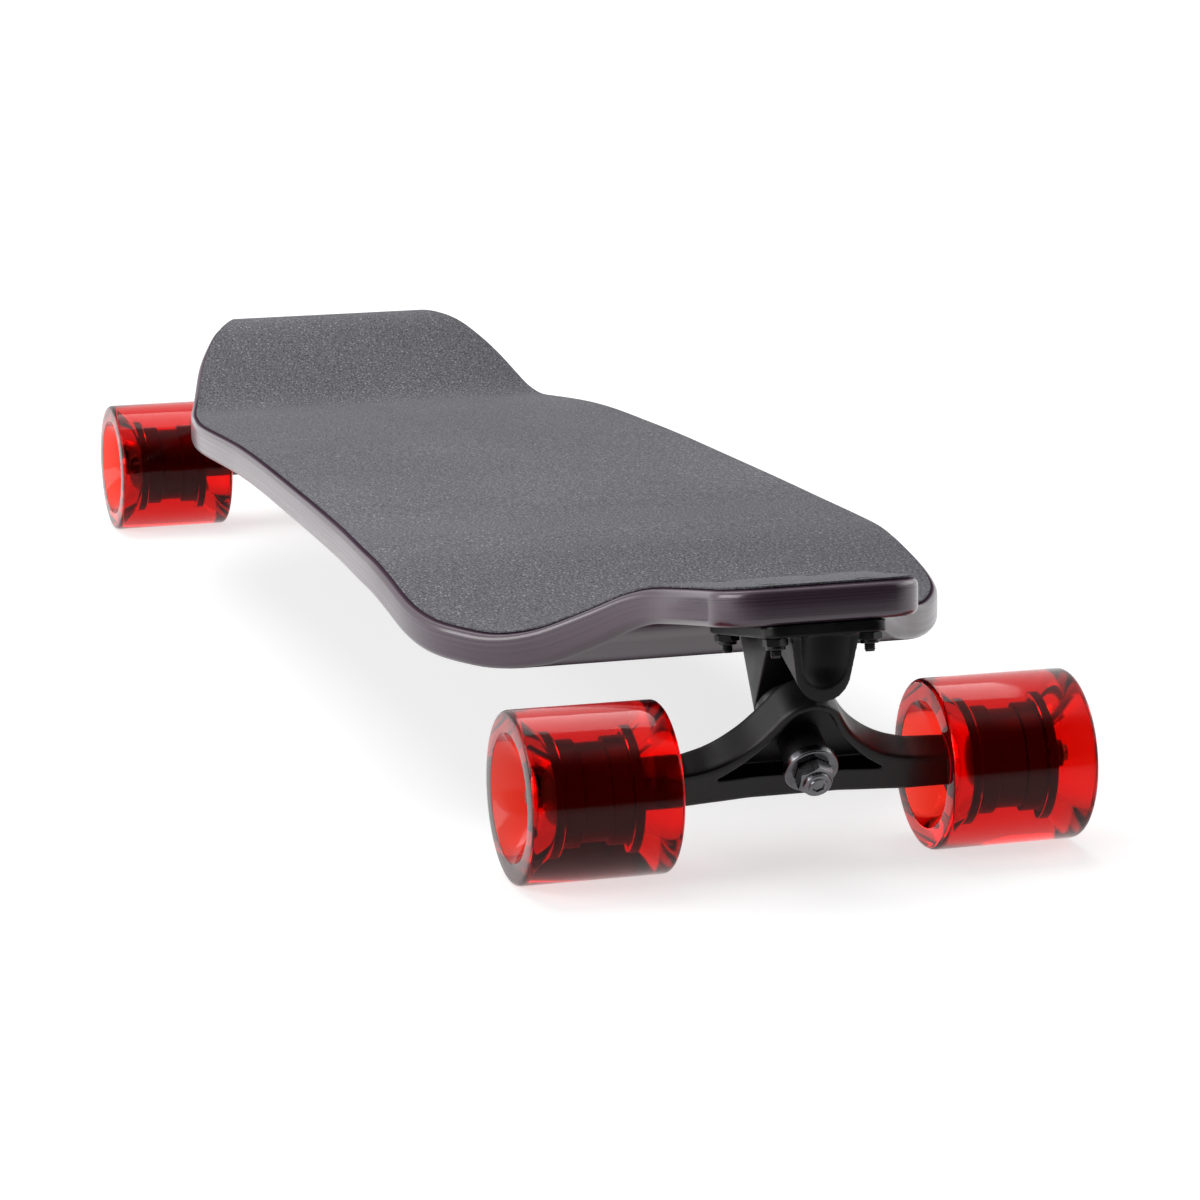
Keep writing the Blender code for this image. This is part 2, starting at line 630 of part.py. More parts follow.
def build_kingpin_stack(prefix, truck, finishes):
    """Make the kingpin, its nut, both washers and both bushings."""
    frame = truck @ kingpin_frame()
    socket_floor = KINGPIN_TIP - KINGPIN_SOCKET_DEPTH
    kingpin = [(0, socket_floor), (KINGPIN_SOCKET_RADIUS, socket_floor),
               (KINGPIN_SOCKET_RADIUS, KINGPIN_TIP), (KINGPIN_RADIUS - PIN_CHAMFER, KINGPIN_TIP),
               (KINGPIN_RADIUS, KINGPIN_TIP - PIN_CHAMFER),
               (KINGPIN_RADIUS, KINGPIN_ROOT), (0, KINGPIN_ROOT)]
    add_mesh(f"{prefix}_kingpin", turned(kingpin, SMALL_SIDES, False), finishes["metal"], frame)
    nut = hex_nut(NUT_FLATS, NUT_HEIGHT, KINGPIN_RADIUS + GAP)
    add_mesh(f"{prefix}_kingpin_nut", nut, finishes["metal"], frame @ Matrix.Translation((0, 0, NUT_START)))
    bore = KINGPIN_RADIUS + GAP
    board_washer = SEAT_DEPTH + GAP
    board_start = board_washer + WASHER_THICKNESS + GAP
    board_end = RING_BACK - GAP
    road_start = RING_FRONT + GAP
    road_end = ROADSIDE_WASHER_START - GAP
    add_mesh(f"{prefix}_boardside_washer", washer(BUSHING_RADIUS, board_washer, 1), finishes["metal"],
             frame)
    barrel = [(BUSHING_RADIUS, board_end), (BUSHING_RADIUS, board_start), (bore, board_start),
              (bore, board_end)]
    add_mesh(f"{prefix}_boardside_bushing", turned(barrel, BUSHING_SIDES, True), finishes["bushing"], frame)
    cone = [(ROADSIDE_TIP_RADIUS, road_end), (ROADSIDE_BASE_RADIUS, road_start), (bore, road_start),
            (bore, road_end)]
    add_mesh(f"{prefix}_roadside_bushing", turned(cone, BUSHING_SIDES, True), finishes["bushing"], frame)
    roadside = washer(ROADSIDE_TIP_RADIUS, ROADSIDE_WASHER_START + WASHER_THICKNESS, -1)
    add_mesh(f"{prefix}_roadside_washer", roadside, finishes["metal"], frame)


def washer(held_radius, level, way):
    """Return a cupped washer whose lip points along way and holds a bushing end of held_radius."""
    bore = KINGPIN_RADIUS + GAP
    rim = held_radius + GAP + WASHER_RIM
    lip = held_radius + 2 * GAP
    heights = (level, level + way * WASHER_THICKNESS, level + way * (WASHER_THICKNESS + WASHER_LIP))
    profile = [(bore, heights[0]), (rim, heights[0]), (rim, heights[2]), (lip, heights[2]),
               (lip, heights[1]), (bore, heights[1])]
    return turned(profile, BUSHING_SIDES, True)


def ring_plane(across, up, depth):
    """Return a truck-frame point from its place across and up the ring and its depth along the pin."""
    return RING_UP * up + KINGPIN_DIRECTION * depth + Vector((0, across, 0))


def mirrored(points):
    """Return an outline from right to left out of its left half, given from the middle outwards."""
    left = [(-across, up) for across, up in reversed(points[1:])]
    return left + list(points)


def hanger_body():
    """Return the hanger's arch and axle beam as one bevelled slab that thins towards its ends."""
    half = [(across * MM, up * MM) for across, up in smooth_through(HANGER_OUTLINE_MM, HANGER_STEPS)]
    half.append((HANGER_REACH, HANGER_END_HEIGHT))
    shape = bmesh.new()
    columns = []
    for across, up in mirrored(half):
        share = (abs(across) - HANGER_THINNING_START) / (HANGER_THINNING_END - HANGER_THINNING_START)
        share = min(max(share, 0.0), 1.0)
        back = HANGER_BACK - (HANGER_END_HALF_DEPTH + HANGER_BACK) * share
        front = HANGER_FRONT + (HANGER_END_HALF_DEPTH - HANGER_FRONT) * share
        corners = ((up, front), (HANGER_BOTTOM, front), (HANGER_BOTTOM, back), (up, back))
        columns.append([shape.verts.new(ring_plane(across, level, depth)) for level, depth in corners])
    for column, following in zip(columns, columns[1:]):
        for corner, vert in enumerate(column):
            shape.faces.new((vert, column[corner - 1], following[corner - 1], following[corner]))
    shape.faces.new(columns[0])
    shape.faces.new(columns[-1])
    bmesh.ops.recalc_face_normals(shape, faces=shape.faces)
    rims = [edge for edge in shape.edges if edge.calc_face_angle() > HANGER_RIM_ANGLE]
    bmesh.ops.bevel(shape, geom=rims, offset=HANGER_BEVEL, segments=2, profile=0.5, affect="EDGES",
                    clamp_overlap=True)
    return shape


def build_hanger(prefix, truck, parent, finishes):
    """Make a hanger with its pivot stub, bushing seats, front pocket and axle bore."""
    finish = finishes["truck"]
    hanger = add_mesh(f"{prefix}_hanger", hanger_body(), finish, truck, parent)
    steering = steering_frame()
    end = -CUP_DEPTH + CUP_WALL + GAP
    stub = [(0, STUB_LENGTH), (STUB_RADIUS, STUB_LENGTH), (STUB_RADIUS, end + STUB_CHAMFER),
            (STUB_RADIUS - STUB_CHAMFER, end), (0, end)]
    stub_shape = turned(stub, SMALL_SIDES, False, matrix=steering)
    boolean(hanger, add_mesh(f"{prefix}_stub_shape", stub_shape, finish, truck), "UNION")
    half = [(across * MM, up * MM) for across, up in smooth_through(HANGER_POCKET_MM, HANGER_STEPS)]
    reach = half[-1][0]
    outline = mirrored(half) + [(reach, HANGER_POCKET_FLOOR), (-reach, HANGER_POCKET_FLOOR)]
    pocket = prism([ring_plane(across, up, RING_FRONT) for across, up in outline],
                   KINGPIN_DIRECTION * (HANGER_FRONT - RING_FRONT + HOLE_OVERRUN))
    boolean(hanger, add_mesh(f"{prefix}_pocket_cutter", pocket, finish, truck), "DIFFERENCE")
    seat = BUSHING_RADIUS + HANGER_SEAT_CLEARANCE
    front = RING_FRONT + HOLE_OVERRUN
    profile = [(0, front), (RING_BORE, front), (RING_BORE, RING_BACK), (seat, RING_BACK),
               (seat, SEAT_DEPTH), (0, SEAT_DEPTH)]
    bore = turned(profile, BUSHING_SIDES, False, matrix=kingpin_frame())
    boolean(hanger, add_mesh(f"{prefix}_bore_cutter", bore, finish, truck), "DIFFERENCE")
    across = Matrix.Rotation(math.pi / 2, 4, "X")
    axle_bore = turned([(0, TRACK / 2), (AXLE_RADIUS + GAP, TRACK / 2), (AXLE_RADIUS + GAP, -TRACK / 2),
                        (0, -TRACK / 2)], SMALL_SIDES, False, matrix=across)
    boolean(hanger, add_mesh(f"{prefix}_axle_cutter", axle_bore, finish, truck), "DIFFERENCE")


def build_axle(prefix, truck, parent, finishes):
    """Make the axle that runs through a hanger and both its wheels."""
    end = WHEEL_Y + CORE_HALF - BEARING_RECESS + SPEED_RING + GAP + AXLE_NUT_HEIGHT + AXLE_PROTRUSION
    profile = [(0, end), (AXLE_RADIUS - PIN_CHAMFER, end), (AXLE_RADIUS, end - PIN_CHAMFER),
               (AXLE_RADIUS, -end + PIN_CHAMFER), (AXLE_RADIUS - PIN_CHAMFER, -end), (0, -end)]
    add_mesh(f"{prefix}_axle", turned(profile, SMALL_SIDES, False), finishes["metal"],
             truck @ Matrix.Rotation(math.pi / 2, 4, "X"), parent)


def tyre_profile():
    """Return a tyre's closed (radius, height) outline: round corners, cone recesses and a stepped bore."""
    half = WHEEL_WIDTH / 2
    outer = WHEEL_RADIUS / math.cos(math.pi / TYRE_SIDES)
    groove = CORE_GROOVE_WIDTH / 2 - GAP
    flange = CORE_HALF - CORE_FLANGE_WIDTH - GAP
    upper = []
    for step in range(TYRE_CORNER_STEPS + 1):
        angle = math.pi / 2 * step / TYRE_CORNER_STEPS
        upper.append((outer - WHEEL_CORNER + WHEEL_CORNER * math.cos(angle),
                      half - WHEEL_CORNER + WHEEL_CORNER * math.sin(angle)))
    upper += [(WHEEL_RADIUS * WHEEL_FACE_RATIO, half), (CORE_FLANGE_RADIUS + GAP, CORE_HALF),
              (CORE_FLANGE_RADIUS + GAP, flange), (CORE_SHOULDER_RADIUS + GAP, flange),
              (CORE_SHOULDER_RADIUS + GAP, groove), (CORE_GROOVE_RADIUS + GAP, groove)]
    return upper + [(radius, -height) for radius, height in reversed(upper)]


def core_profile():
    """Return a core's closed (radius, height) outline: ribbed outside, sunk bearing seats inside."""
    seat = BEARING_RADIUS + GAP
    seat_top = CORE_HALF - BEARING_RECESS
    seat_floor = seat_top - BEARING_WIDTH - GAP
    groove = CORE_GROOVE_WIDTH / 2
    flange = CORE_HALF - CORE_FLANGE_WIDTH
    upper = [(CORE_GROOVE_RADIUS, groove), (CORE_SHOULDER_RADIUS, groove), (CORE_SHOULDER_RADIUS, flange),
             (CORE_FLANGE_RADIUS, flange), (CORE_FLANGE_RADIUS, CORE_HALF), (CORE_COUNTERBORE, CORE_HALF),
             (CORE_COUNTERBORE, seat_top), (seat, seat_top), (seat, seat_floor), (CORE_BORE, seat_floor)]
    return upper + [(radius, -height) for radius, height in reversed(upper)]


def bearing_profile():
    """Return a bearing's closed outline from the wheel's middle: half spacer, race and speed ring."""
    bore = AXLE_RADIUS + GAP
    outer = CORE_HALF - BEARING_RECESS
    inner = outer - BEARING_WIDTH
    return [(bore, GAP / 2), (bore, outer + SPEED_RING), (SPACER_RADIUS, outer + SPEED_RING),
            (SPACER_RADIUS, outer), (BEARING_RADIUS, outer), (BEARING_RADIUS, inner), (SPACER_RADIUS, inner),
            (SPACER_RADIUS, GAP / 2)]


def build_wheel(end, side, prefix, truck_parent, finishes):
    """Make a wheel with its core, two bearings and axle nut; side is 1 on the left, -1 on the right."""
    centre = Vector((end * AXLE_X, side * WHEEL_Y, AXLE_Z))
    outwards = Matrix.Translation(centre) @ Matrix.Rotation(-side * math.pi / 2, 4, "X")
    inwards = Matrix.Translation(centre) @ Matrix.Rotation(side * math.pi / 2, 4, "X")
    hub = add_empty(f"{prefix}_hub", Matrix.Translation(centre), truck_parent)
    add_mesh(f"{prefix}_tyre", turned(tyre_profile(), TYRE_SIDES, True), finishes["tyre"], outwards, hub)
    add_mesh(f"{prefix}_core", turned(core_profile(), CORE_SIDES, True), finishes["core"], outwards, hub)
    add_mesh(f"{prefix}_outer_bearing", turned(bearing_profile(), SMALL_SIDES, True), finishes["metal"],
             outwards, hub)
    add_mesh(f"{prefix}_inner_bearing", turned(bearing_profile(), SMALL_SIDES, True), finishes["metal"],
             inwards, hub)
    start = CORE_HALF - BEARING_RECESS + SPEED_RING + GAP
    nut = hex_nut(AXLE_NUT_FLATS, AXLE_NUT_HEIGHT, AXLE_RADIUS + GAP)
    add_mesh(f"{prefix}_axle_nut", nut, finishes["metal"], outwards @ Matrix.Translation((0, 0, start)),
             truck_parent)


def build_truck(end, prefix, finishes):
    """Make one truck with its wheels."""
    truck = truck_frame(end)
    build_bolts(end, prefix, finishes)
    build_baseplate(end, prefix, finishes)
    build_pivot_cup(prefix, truck, finishes)
    build_kingpin_stack(prefix, truck, finishes)
    steer = add_empty(f"{prefix}_steer", truck @ steering_frame())
    build_hanger(prefix, truck, steer, finishes)
    build_axle(prefix, truck, steer, finishes)
    for side, word in ((1, "left"), (-1, "right")):
        build_wheel(end, side, f"{prefix}_{word}", steer, finishes)


def main():
    """Build the whole board."""
    clear_scene()
    finishes = {
        "rail": material("satin_rail", (0.25, 0.22, 0.26), 0.4),
        "grip": material("grip_grit", (0.13, 0.13, 0.15), 0.95),
        "truck": material("matt_black_casting", (0.012, 0.012, 0.013), 0.5),
        "metal": material("dark_steel", (0.05, 0.05, 0.05), 0.35, 1.0),
        "bushing": material("black_urethane", (0.015, 0.015, 0.016), 0.45),
        "cup": material("pivot_urethane", (0.02, 0.02, 0.02), 0.5),
        "tyre": material("clear_red_urethane", (0.75, 0.02, 0.02), 0.08, 0.0, 1.0),
        "core": material("black_core", (0.01, 0.01, 0.01), 0.4),
    }
    build_deck(finishes)
    build_truck(1, "front", finishes)
    build_truck(-1, "rear", finishes)


main()
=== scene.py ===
"""Looks of the drop-deck longboard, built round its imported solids.

Metres, +Z up, +X towards the nose, ground at z = 0. Each class is one sub-assembly: it holds its sizes,
builds its meshes in place and gives them their finishes.
"""
import logging
import math
from dataclasses import dataclass, field
from enum import Enum
from typing import Any, Iterable, Optional, Sequence

import bmesh
import bpy
from mathutils import Matrix, Vector

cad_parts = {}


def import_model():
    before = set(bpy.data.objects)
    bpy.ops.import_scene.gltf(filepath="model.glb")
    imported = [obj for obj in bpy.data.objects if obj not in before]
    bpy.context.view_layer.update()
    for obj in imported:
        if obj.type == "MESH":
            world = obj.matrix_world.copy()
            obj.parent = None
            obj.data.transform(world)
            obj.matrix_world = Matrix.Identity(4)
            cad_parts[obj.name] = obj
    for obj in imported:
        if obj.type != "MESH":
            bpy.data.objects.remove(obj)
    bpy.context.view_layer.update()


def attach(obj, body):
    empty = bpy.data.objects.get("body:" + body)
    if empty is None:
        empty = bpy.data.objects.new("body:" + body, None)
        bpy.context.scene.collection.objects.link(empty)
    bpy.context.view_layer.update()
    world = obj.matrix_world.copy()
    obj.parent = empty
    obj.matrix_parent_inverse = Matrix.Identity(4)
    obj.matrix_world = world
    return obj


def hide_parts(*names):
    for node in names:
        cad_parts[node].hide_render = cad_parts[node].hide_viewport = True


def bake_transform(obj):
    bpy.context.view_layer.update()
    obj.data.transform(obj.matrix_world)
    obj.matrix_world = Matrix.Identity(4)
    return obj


LOG = logging.getLogger("longboard")
MM = 0.001
GAP = 0.3 * MM
PLY_DEPTH = "ply_depth"

Colour = tuple[float, float, float]
Profile = list[tuple[float, float]]
Corner = tuple[float, float, float]


class Finish(Enum):
    """The pieces' finishes, each with the record's material slot that it belongs to."""

    RAIL = ("satin_rail", "rail")
    GRIP = ("grip_grit", "grip")
    CASTING = ("matt_black_casting", "truck")
    STEEL = ("dark_steel", "metal")
    BLACKENED = ("blackened_steel", "metal")
    BUSHING = ("black_urethane", "bushing")
    CUP = ("pivot_urethane", "cup")
    TYRE = ("clear_red_urethane", "tyre")
    CORE = ("black_nylon", "core")

    def __init__(self, title: str, slot: str) -> None:
        """Keep the material's name and its slot."""
        self.title = title
        self.slot = slot


class Joining(Enum):
    """Ways of bringing one solid to another."""

    ADD = "UNION"
    CUT = "DIFFERENCE"
    KEEP = "INTERSECT"


class End(Enum):
    """The two ends of the board, by which way they lie along X."""

    FRONT = 1
    REAR = -1

    @property
    def word(self) -> str:
        """The end's name in node names."""
        return self.name.lower()


class Side(Enum):
    """The two sides of the board, by which way they lie along Y."""

    LEFT = 1
    RIGHT = -1

    @property
    def word(self) -> str:
        """The side's name in node names."""
        return self.name.lower()


class Graph:
    """The shader nodes of one material, added by short calls."""

    MIX_FACTOR = 0
    MIX_FIRST = 6
    MIX_SECOND = 7
    MIX_RESULT = 2

    def __init__(self, name: str) -> None:
        """Start a material with its Principled shader."""
        self.material = bpy.data.materials.new(name)
        self.material.use_nodes = True
        self.tree = self.material.node_tree
        self.shader = self.tree.nodes["Principled BSDF"]

    def feed(self, socket: bpy.types.NodeSocket, value: Any) -> None:
        """Set a socket, or link it where the value is another socket."""
        if isinstance(value, bpy.types.NodeSocket):
            self.tree.links.new(value, socket)
        else:
            socket.default_value = value

    def node(self, kind: str, inputs: Optional[dict[Any, Any]] = None, **settings: Any) -> bpy.types.Node:
        """Add a node.

        Args:
            kind: Blender's name for the node.
            inputs: values or source sockets, by input name or number.
            settings: the node's own options.

        Returns:
            The new node.
        """
        made = self.tree.nodes.new(kind)
        for name, value in settings.items():
            setattr(made, name, value)
        for name, value in (inputs or {}).items():
            self.feed(made.inputs[name], value)
        return made

    def surface(self, values: dict[str, Any]) -> None:
        """Feed the Principled shader's sockets by name."""
        for name, value in values.items():
            self.feed(self.shader.inputs[name], value)

    def place(self, scale: Sequence[float] = (1.0, 1.0, 1.0)) -> bpy.types.NodeSocket:
        """Return Object coordinates, stretched by a scale on each axis."""
        source = self.node("ShaderNodeTexCoord").outputs["Object"]
        return self.node("ShaderNodeMapping", {"Vector": source, "Scale": scale}).outputs["Vector"]

    def noise(self, vector: bpy.types.NodeSocket, scale: float, detail: float = 2.0,
              roughness: float = 0.5) -> bpy.types.NodeSocket:
        """Return a noise value from 0 to 1."""
        inputs = {"Vector": vector, "Scale": scale, "Detail": detail, "Roughness": roughness}
        return self.node("ShaderNodeTexNoise", inputs).outputs["Fac"]

    def spread(self, value: bpy.types.NodeSocket, source: tuple[float, float],
               target: tuple[float, float]) -> bpy.types.NodeSocket:
        """Return a value carried smoothly from one range to another, held at its ends."""
        inputs = {"Value": value, "From Min": source[0], "From Max": source[1],
                  "To Min": target[0], "To Max": target[1]}
        return self.node("ShaderNodeMapRange", inputs, interpolation_type="SMOOTHSTEP").outputs["Result"]

    def maths(self, operation: str, first: Any, second: Any = 0.0) -> bpy.types.NodeSocket:
        """Return the result of one arithmetic step."""
        return self.node("ShaderNodeMath", {0: first, 1: second}, operation=operation).outputs[0]

    def mix(self, share: Any, first: Any, second: Any) -> bpy.types.NodeSocket:
        """Return a colour between two, nearer the second as share grows."""
        inputs = {self.MIX_FACTOR: share, self.MIX_FIRST: opaque(first), self.MIX_SECOND: opaque(second)}
        return self.node("ShaderNodeMix", inputs, data_type="RGBA").outputs[self.MIX_RESULT]

    def bump(self, height: bpy.types.NodeSocket, strength: float, distance: float) -> None:
        """Raise the surface by a height value, over the given distance."""
        inputs = {"Height": height, "Strength": strength, "Distance": distance}
        self.feed(self.shader.inputs["Normal"], self.node("ShaderNodeBump", inputs).outputs["Normal"])


def opaque(colour: Any) -> Any:
    """Return a colour with its fourth channel, or a socket as it is."""
    if isinstance(colour, bpy.types.NodeSocket):
        return colour
    return (*colour, 1.0)


@dataclass(frozen=True)
class RailFinish:
    """Lilac-grey satin lacquer over plies, which show as thin lines round the rail."""

    light: Colour = (0.076, 0.046, 0.069)
    dark: Colour = (0.045, 0.026, 0.040)
    line: Colour = (0.030, 0.025, 0.032)
    ply_lines: tuple[tuple[float, float], ...] = ((3.9 * MM, 0.7), (8.4 * MM, 0.15), (12.2 * MM, 0.15))
    line_half_width: float = 0.45 * MM
    metallic: float = 0.1
    roughness: tuple[float, float] = (0.26, 0.36)
    shine: float = 0.5
    flat_shine: float = 0.0
    flat_roughness: float = 0.8
    line_shine: float = 0.35
    lacquer: float = 0.45
    lacquer_roughness: float = 0.18

    def make(self) -> bpy.types.Material:
        """Return the deck's material."""
        graph = Graph(Finish.RAIL.title)
        depth = graph.node("ShaderNodeAttribute", attribute_name=PLY_DEPTH).outputs["Fac"]
        along = graph.node("ShaderNodeSeparateXYZ", {0: graph.place((7.0, 7.0, 7.0))})
        drawn = graph.node("ShaderNodeCombineXYZ", {
            0: along.outputs[0], 1: along.outputs[1], 2: graph.maths("MULTIPLY", depth, 900.0)})
        streaks = graph.noise(drawn.outputs[0], 1.0, 4.0, 0.55)
        grain = graph.noise(graph.place((5.0, 210.0, 20.0)), 1.0, 5.0, 0.6)
        facing = graph.node("ShaderNodeNewGeometry").outputs["Normal"]
        normal = graph.node("ShaderNodeSeparateXYZ", {0: facing})
        flat = graph.spread(graph.maths("ABSOLUTE", normal.outputs[2]), (0.75, 0.98), (0.0, 1.0))
        figure = graph.node("ShaderNodeMix", {0: flat, 2: streaks, 3: grain}, data_type="FLOAT").outputs[0]
        tone = graph.spread(figure, (0.25, 0.75), (0.0, 1.0))
        colour = graph.mix(tone, self.dark, self.light)
        mask: Any = 0.0
        for level, strength in self.ply_lines:
            off = graph.maths("ABSOLUTE", graph.maths("SUBTRACT", depth, level))
            band = graph.spread(off, (0.3 * self.line_half_width, self.line_half_width), (strength, 0.0))
            mask = graph.maths("MAXIMUM", mask, band)
        worn = graph.maths("MULTIPLY", mask, graph.spread(streaks, (0.3, 0.6), (1.0, 0.6)))
        graph.surface({
            "Base Color": graph.mix(worn, colour, self.line),
            "Metallic": self.metallic,
            "Roughness": graph.node("ShaderNodeMix", {
                0: flat, 2: graph.spread(figure, (0.3, 0.7), self.roughness), 3: self.flat_roughness,
            }, data_type="FLOAT").outputs[0],
            "Coat Weight": graph.spread(flat, (0.0, 1.0), (self.lacquer, 0.0)),
            "Coat Roughness": self.lacquer_roughness,
            "Specular IOR Level": graph.maths(
                "MULTIPLY", graph.spread(worn, (0.0, 1.0), (1.0, self.line_shine)),
                graph.spread(flat, (0.0, 1.0), (self.shine, self.flat_shine))),
        })
        graph.bump(figure, 0.06, 0.2 * MM)
        return graph.material


@dataclass(frozen=True)
class GripFinish:
    """Dark grit on a sheet: close specks with a slow drift in tone."""

    low: Colour = (0.028, 0.028, 0.032)
    middle: Colour = (0.112, 0.110, 0.125)
    high: Colour = (0.40, 0.392, 0.43)
    speck_scale: float = 900.0
    roughness: float = 0.82

    def make(self) -> bpy.types.Material:
        """Return the grip sheet's material."""
        graph = Graph(Finish.GRIP.title)
        place = graph.place()
        specks = graph.noise(place, self.speck_scale, 3.0, 0.7)
        drift = graph.noise(place, 6.0, 2.0, 0.5)
        shifted = graph.maths("ADD", specks, graph.spread(drift, (0.3, 0.7), (-0.02, 0.02)))
        lower = graph.mix(graph.spread(shifted, (0.34, 0.52), (0.0, 1.0)), self.low, self.middle)
        graph.surface({
            "Base Color": graph.mix(graph.spread(shifted, (0.56, 0.72), (0.0, 1.0)), lower, self.high),
            "Roughness": self.roughness,
            "Specular IOR Level": 0.35,
        })
        graph.bump(specks, 0.55, 0.35 * MM)
        return graph.material


@dataclass(frozen=True)
class UrethaneFinish:
    """Clear red cast urethane that deepens with its thickness."""

    tint: Colour = (0.94, 0.185, 0.165)
    absorbed: Colour = (0.95, 0.26, 0.07)
    density: float = 125.0
    roughness: tuple[float, float] = (0.06, 0.12)
    refraction: float = 1.5
    shine: float = 0.28

    def make(self) -> bpy.types.Material:
        """Return the wheels' material."""
        graph = Graph(Finish.TYRE.title)
        scuff = graph.noise(graph.place((60.0, 220.0, 60.0)), 1.0, 4.0, 0.6)
        graph.surface({
            "Base Color": opaque(self.tint),
            "Roughness": graph.spread(scuff, (0.45, 0.75), self.roughness),
            "IOR": self.refraction,
            "Specular Tint": (self.shine, self.shine, self.shine, 1.0),
            "Transmission Weight": 1.0,
        })
        depth = graph.node("ShaderNodeVolumeAbsorption", {
            "Color": opaque(self.absorbed), "Density": self.density})
        output = graph.tree.nodes["Material Output"]
        graph.feed(output.inputs["Volume"], depth.outputs["Volume"])
        return graph.material


@dataclass(frozen=True)
class CoatFinish:
    """A dark coat over metal, rubber or plastic, with a fine skin texture."""

    finish: Finish
    low: float
    high: float
    roughness: tuple[float, float]
    skin_scale: float
    skin_strength: float
    metallic: float = 0.0
    shine: float = 0.5
    cool: float = 1.06

    def grey(self, level: float) -> Colour:
        """Return a grey of this level with a slightly stronger blue."""
        return (level, level, level * self.cool)

    def make(self) -> bpy.types.Material:
        """Return the coat's material."""
        graph = Graph(self.finish.title)
        place = graph.place()
        skin = graph.noise(place, self.skin_scale, 3.0, 0.6)
        blotch = graph.noise(place, self.skin_scale / 14.0, 3.0, 0.55)
        share = graph.spread(blotch, (0.3, 0.7), (0.0, 1.0))
        graph.surface({
            "Base Color": graph.mix(share, self.grey(self.low), self.grey(self.high)),
            "Roughness": graph.spread(blotch, (0.3, 0.7), self.roughness),
            "Metallic": self.metallic,
            "Specular IOR Level": self.shine,
        })
        graph.bump(skin, self.skin_strength, 0.1 * MM)
        return graph.material


def finishes() -> dict[Finish, bpy.types.Material]:
    """Return one material for each finish."""
    coats = (
        CoatFinish(Finish.CASTING, 0.004, 0.008, (0.34, 0.44), 900.0, 0.25, shine=0.24),
        CoatFinish(Finish.STEEL, 0.10, 0.17, (0.20, 0.30), 1400.0, 0.10, metallic=1.0),
        CoatFinish(Finish.BLACKENED, 0.012, 0.024, (0.30, 0.40), 1400.0, 0.12, metallic=0.4),
        CoatFinish(Finish.BUSHING, 0.006, 0.011, (0.30, 0.40), 700.0, 0.10, shine=0.4),
        CoatFinish(Finish.CUP, 0.006, 0.011, (0.42, 0.50), 700.0, 0.10, shine=0.4),
        CoatFinish(Finish.CORE, 0.004, 0.008, (0.36, 0.48), 800.0, 0.20, shine=0.4),
    )
    made = {coat.finish: coat.make() for coat in coats}
    made[Finish.RAIL] = RailFinish().make()
    made[Finish.GRIP] = GripFinish().make()
    made[Finish.TYRE] = UrethaneFinish().make()
    return made


def rounded(corners: Sequence[Corner], closed: bool, steps: int = 4) -> Profile:
    """Round the corners of a profile.

    Args:
        corners: (radius, height, rounding) of each corner.
        closed: whether the last corner joins the first.
        steps: straight pieces in each rounding.

    Returns:
        The (radius, height) points.
    """
    made: Profile = []
    last = len(corners) - 1
    for index, (radius, height, rounding) in enumerate(corners):
        if rounding == 0 or (not closed and index in (0, last)):
            made.append((radius, height))
            continue
        here = Vector((radius, height))
        back = (Vector(corners[index - 1][:2]) - here).normalized()
        on = (Vector(corners[(index + 1) % len(corners)][:2]) - here).normalized()
        reach = rounding / math.tan(back.angle(on) / 2)
        for step in range(steps + 1):
            t = step / steps
            point = here + back * reach * (1 - t) ** 2 + on * reach * t ** 2
            made.append((point.x, point.y))
    return made


def threaded(radius: float, start: float, end: float, pitch: float) -> Profile:
    """Return the ridged (radius, height) points of a thread from start to end."""
    turns = max(1, round(abs(end - start) / pitch))
    rise = (end - start) / turns
    made: Profile = []
    for turn in range(turns):
        made.append((radius, start + rise * (turn + 0.25)))
        made.append((radius - 0.45 * pitch, start + rise * (turn + 0.75)))
    return made


def spun(profile: Profile, steps: int, closed: bool, matrix: Matrix = Matrix()) -> bmesh.types.BMesh:
    """Spin a profile round Z.

    Args:
        profile: (radius, height) points; an open one starts and ends on the axis.
        steps: facets round the axis.
        closed: whether the profile is a ring's closed outline.
        matrix: where the spun shape stands.

    Returns:
        The closed shape.
    """
    shape = bmesh.new()
    points = [shape.verts.new((radius, 0, height)) for radius, height in profile]
    pairs = list(zip(points, points[1:]))
    if closed:
        pairs.append((points[-1], points[0]))
    edges = [shape.edges.new(pair) for pair in pairs]
    bmesh.ops.spin(shape, geom=points + edges, cent=(0, 0, 0), axis=(0, 0, 1), angle=2 * math.pi, steps=steps,
                   use_merge=True)
    bmesh.ops.transform(shape, matrix=matrix, verts=shape.verts)
    return tidied(shape)


def tidied(shape: bmesh.types.BMesh, reach: float = 0.002 * MM) -> bmesh.types.BMesh:
    """Merge a shape's doubles and turn its faces outwards."""
    bmesh.ops.remove_doubles(shape, verts=shape.verts, dist=reach)
    bmesh.ops.recalc_face_normals(shape, faces=shape.faces)
    return shape


def six_sided(radius: float, level: float) -> list[Vector]:
    """Return a level hexagon's corners, at a radius from the Z axis."""
    turns = [side * math.pi / 3 for side in range(6)]
    return [Vector((radius * math.cos(turn), radius * math.sin(turn), level)) for turn in turns]


def prism(outline: Iterable[Vector], vector: Vector) -> bmesh.types.BMesh:
    """Extrude a flat outline along a vector."""
    shape = bmesh.new()
    face = shape.faces.new([shape.verts.new(point) for point in outline])
    made = bmesh.ops.extrude_face_region(shape, geom=[face])
    moved = [item for item in made["geom"] if isinstance(item, bmesh.types.BMVert)]
    bmesh.ops.translate(shape, verts=moved, vec=vector)
    return tidied(shape)


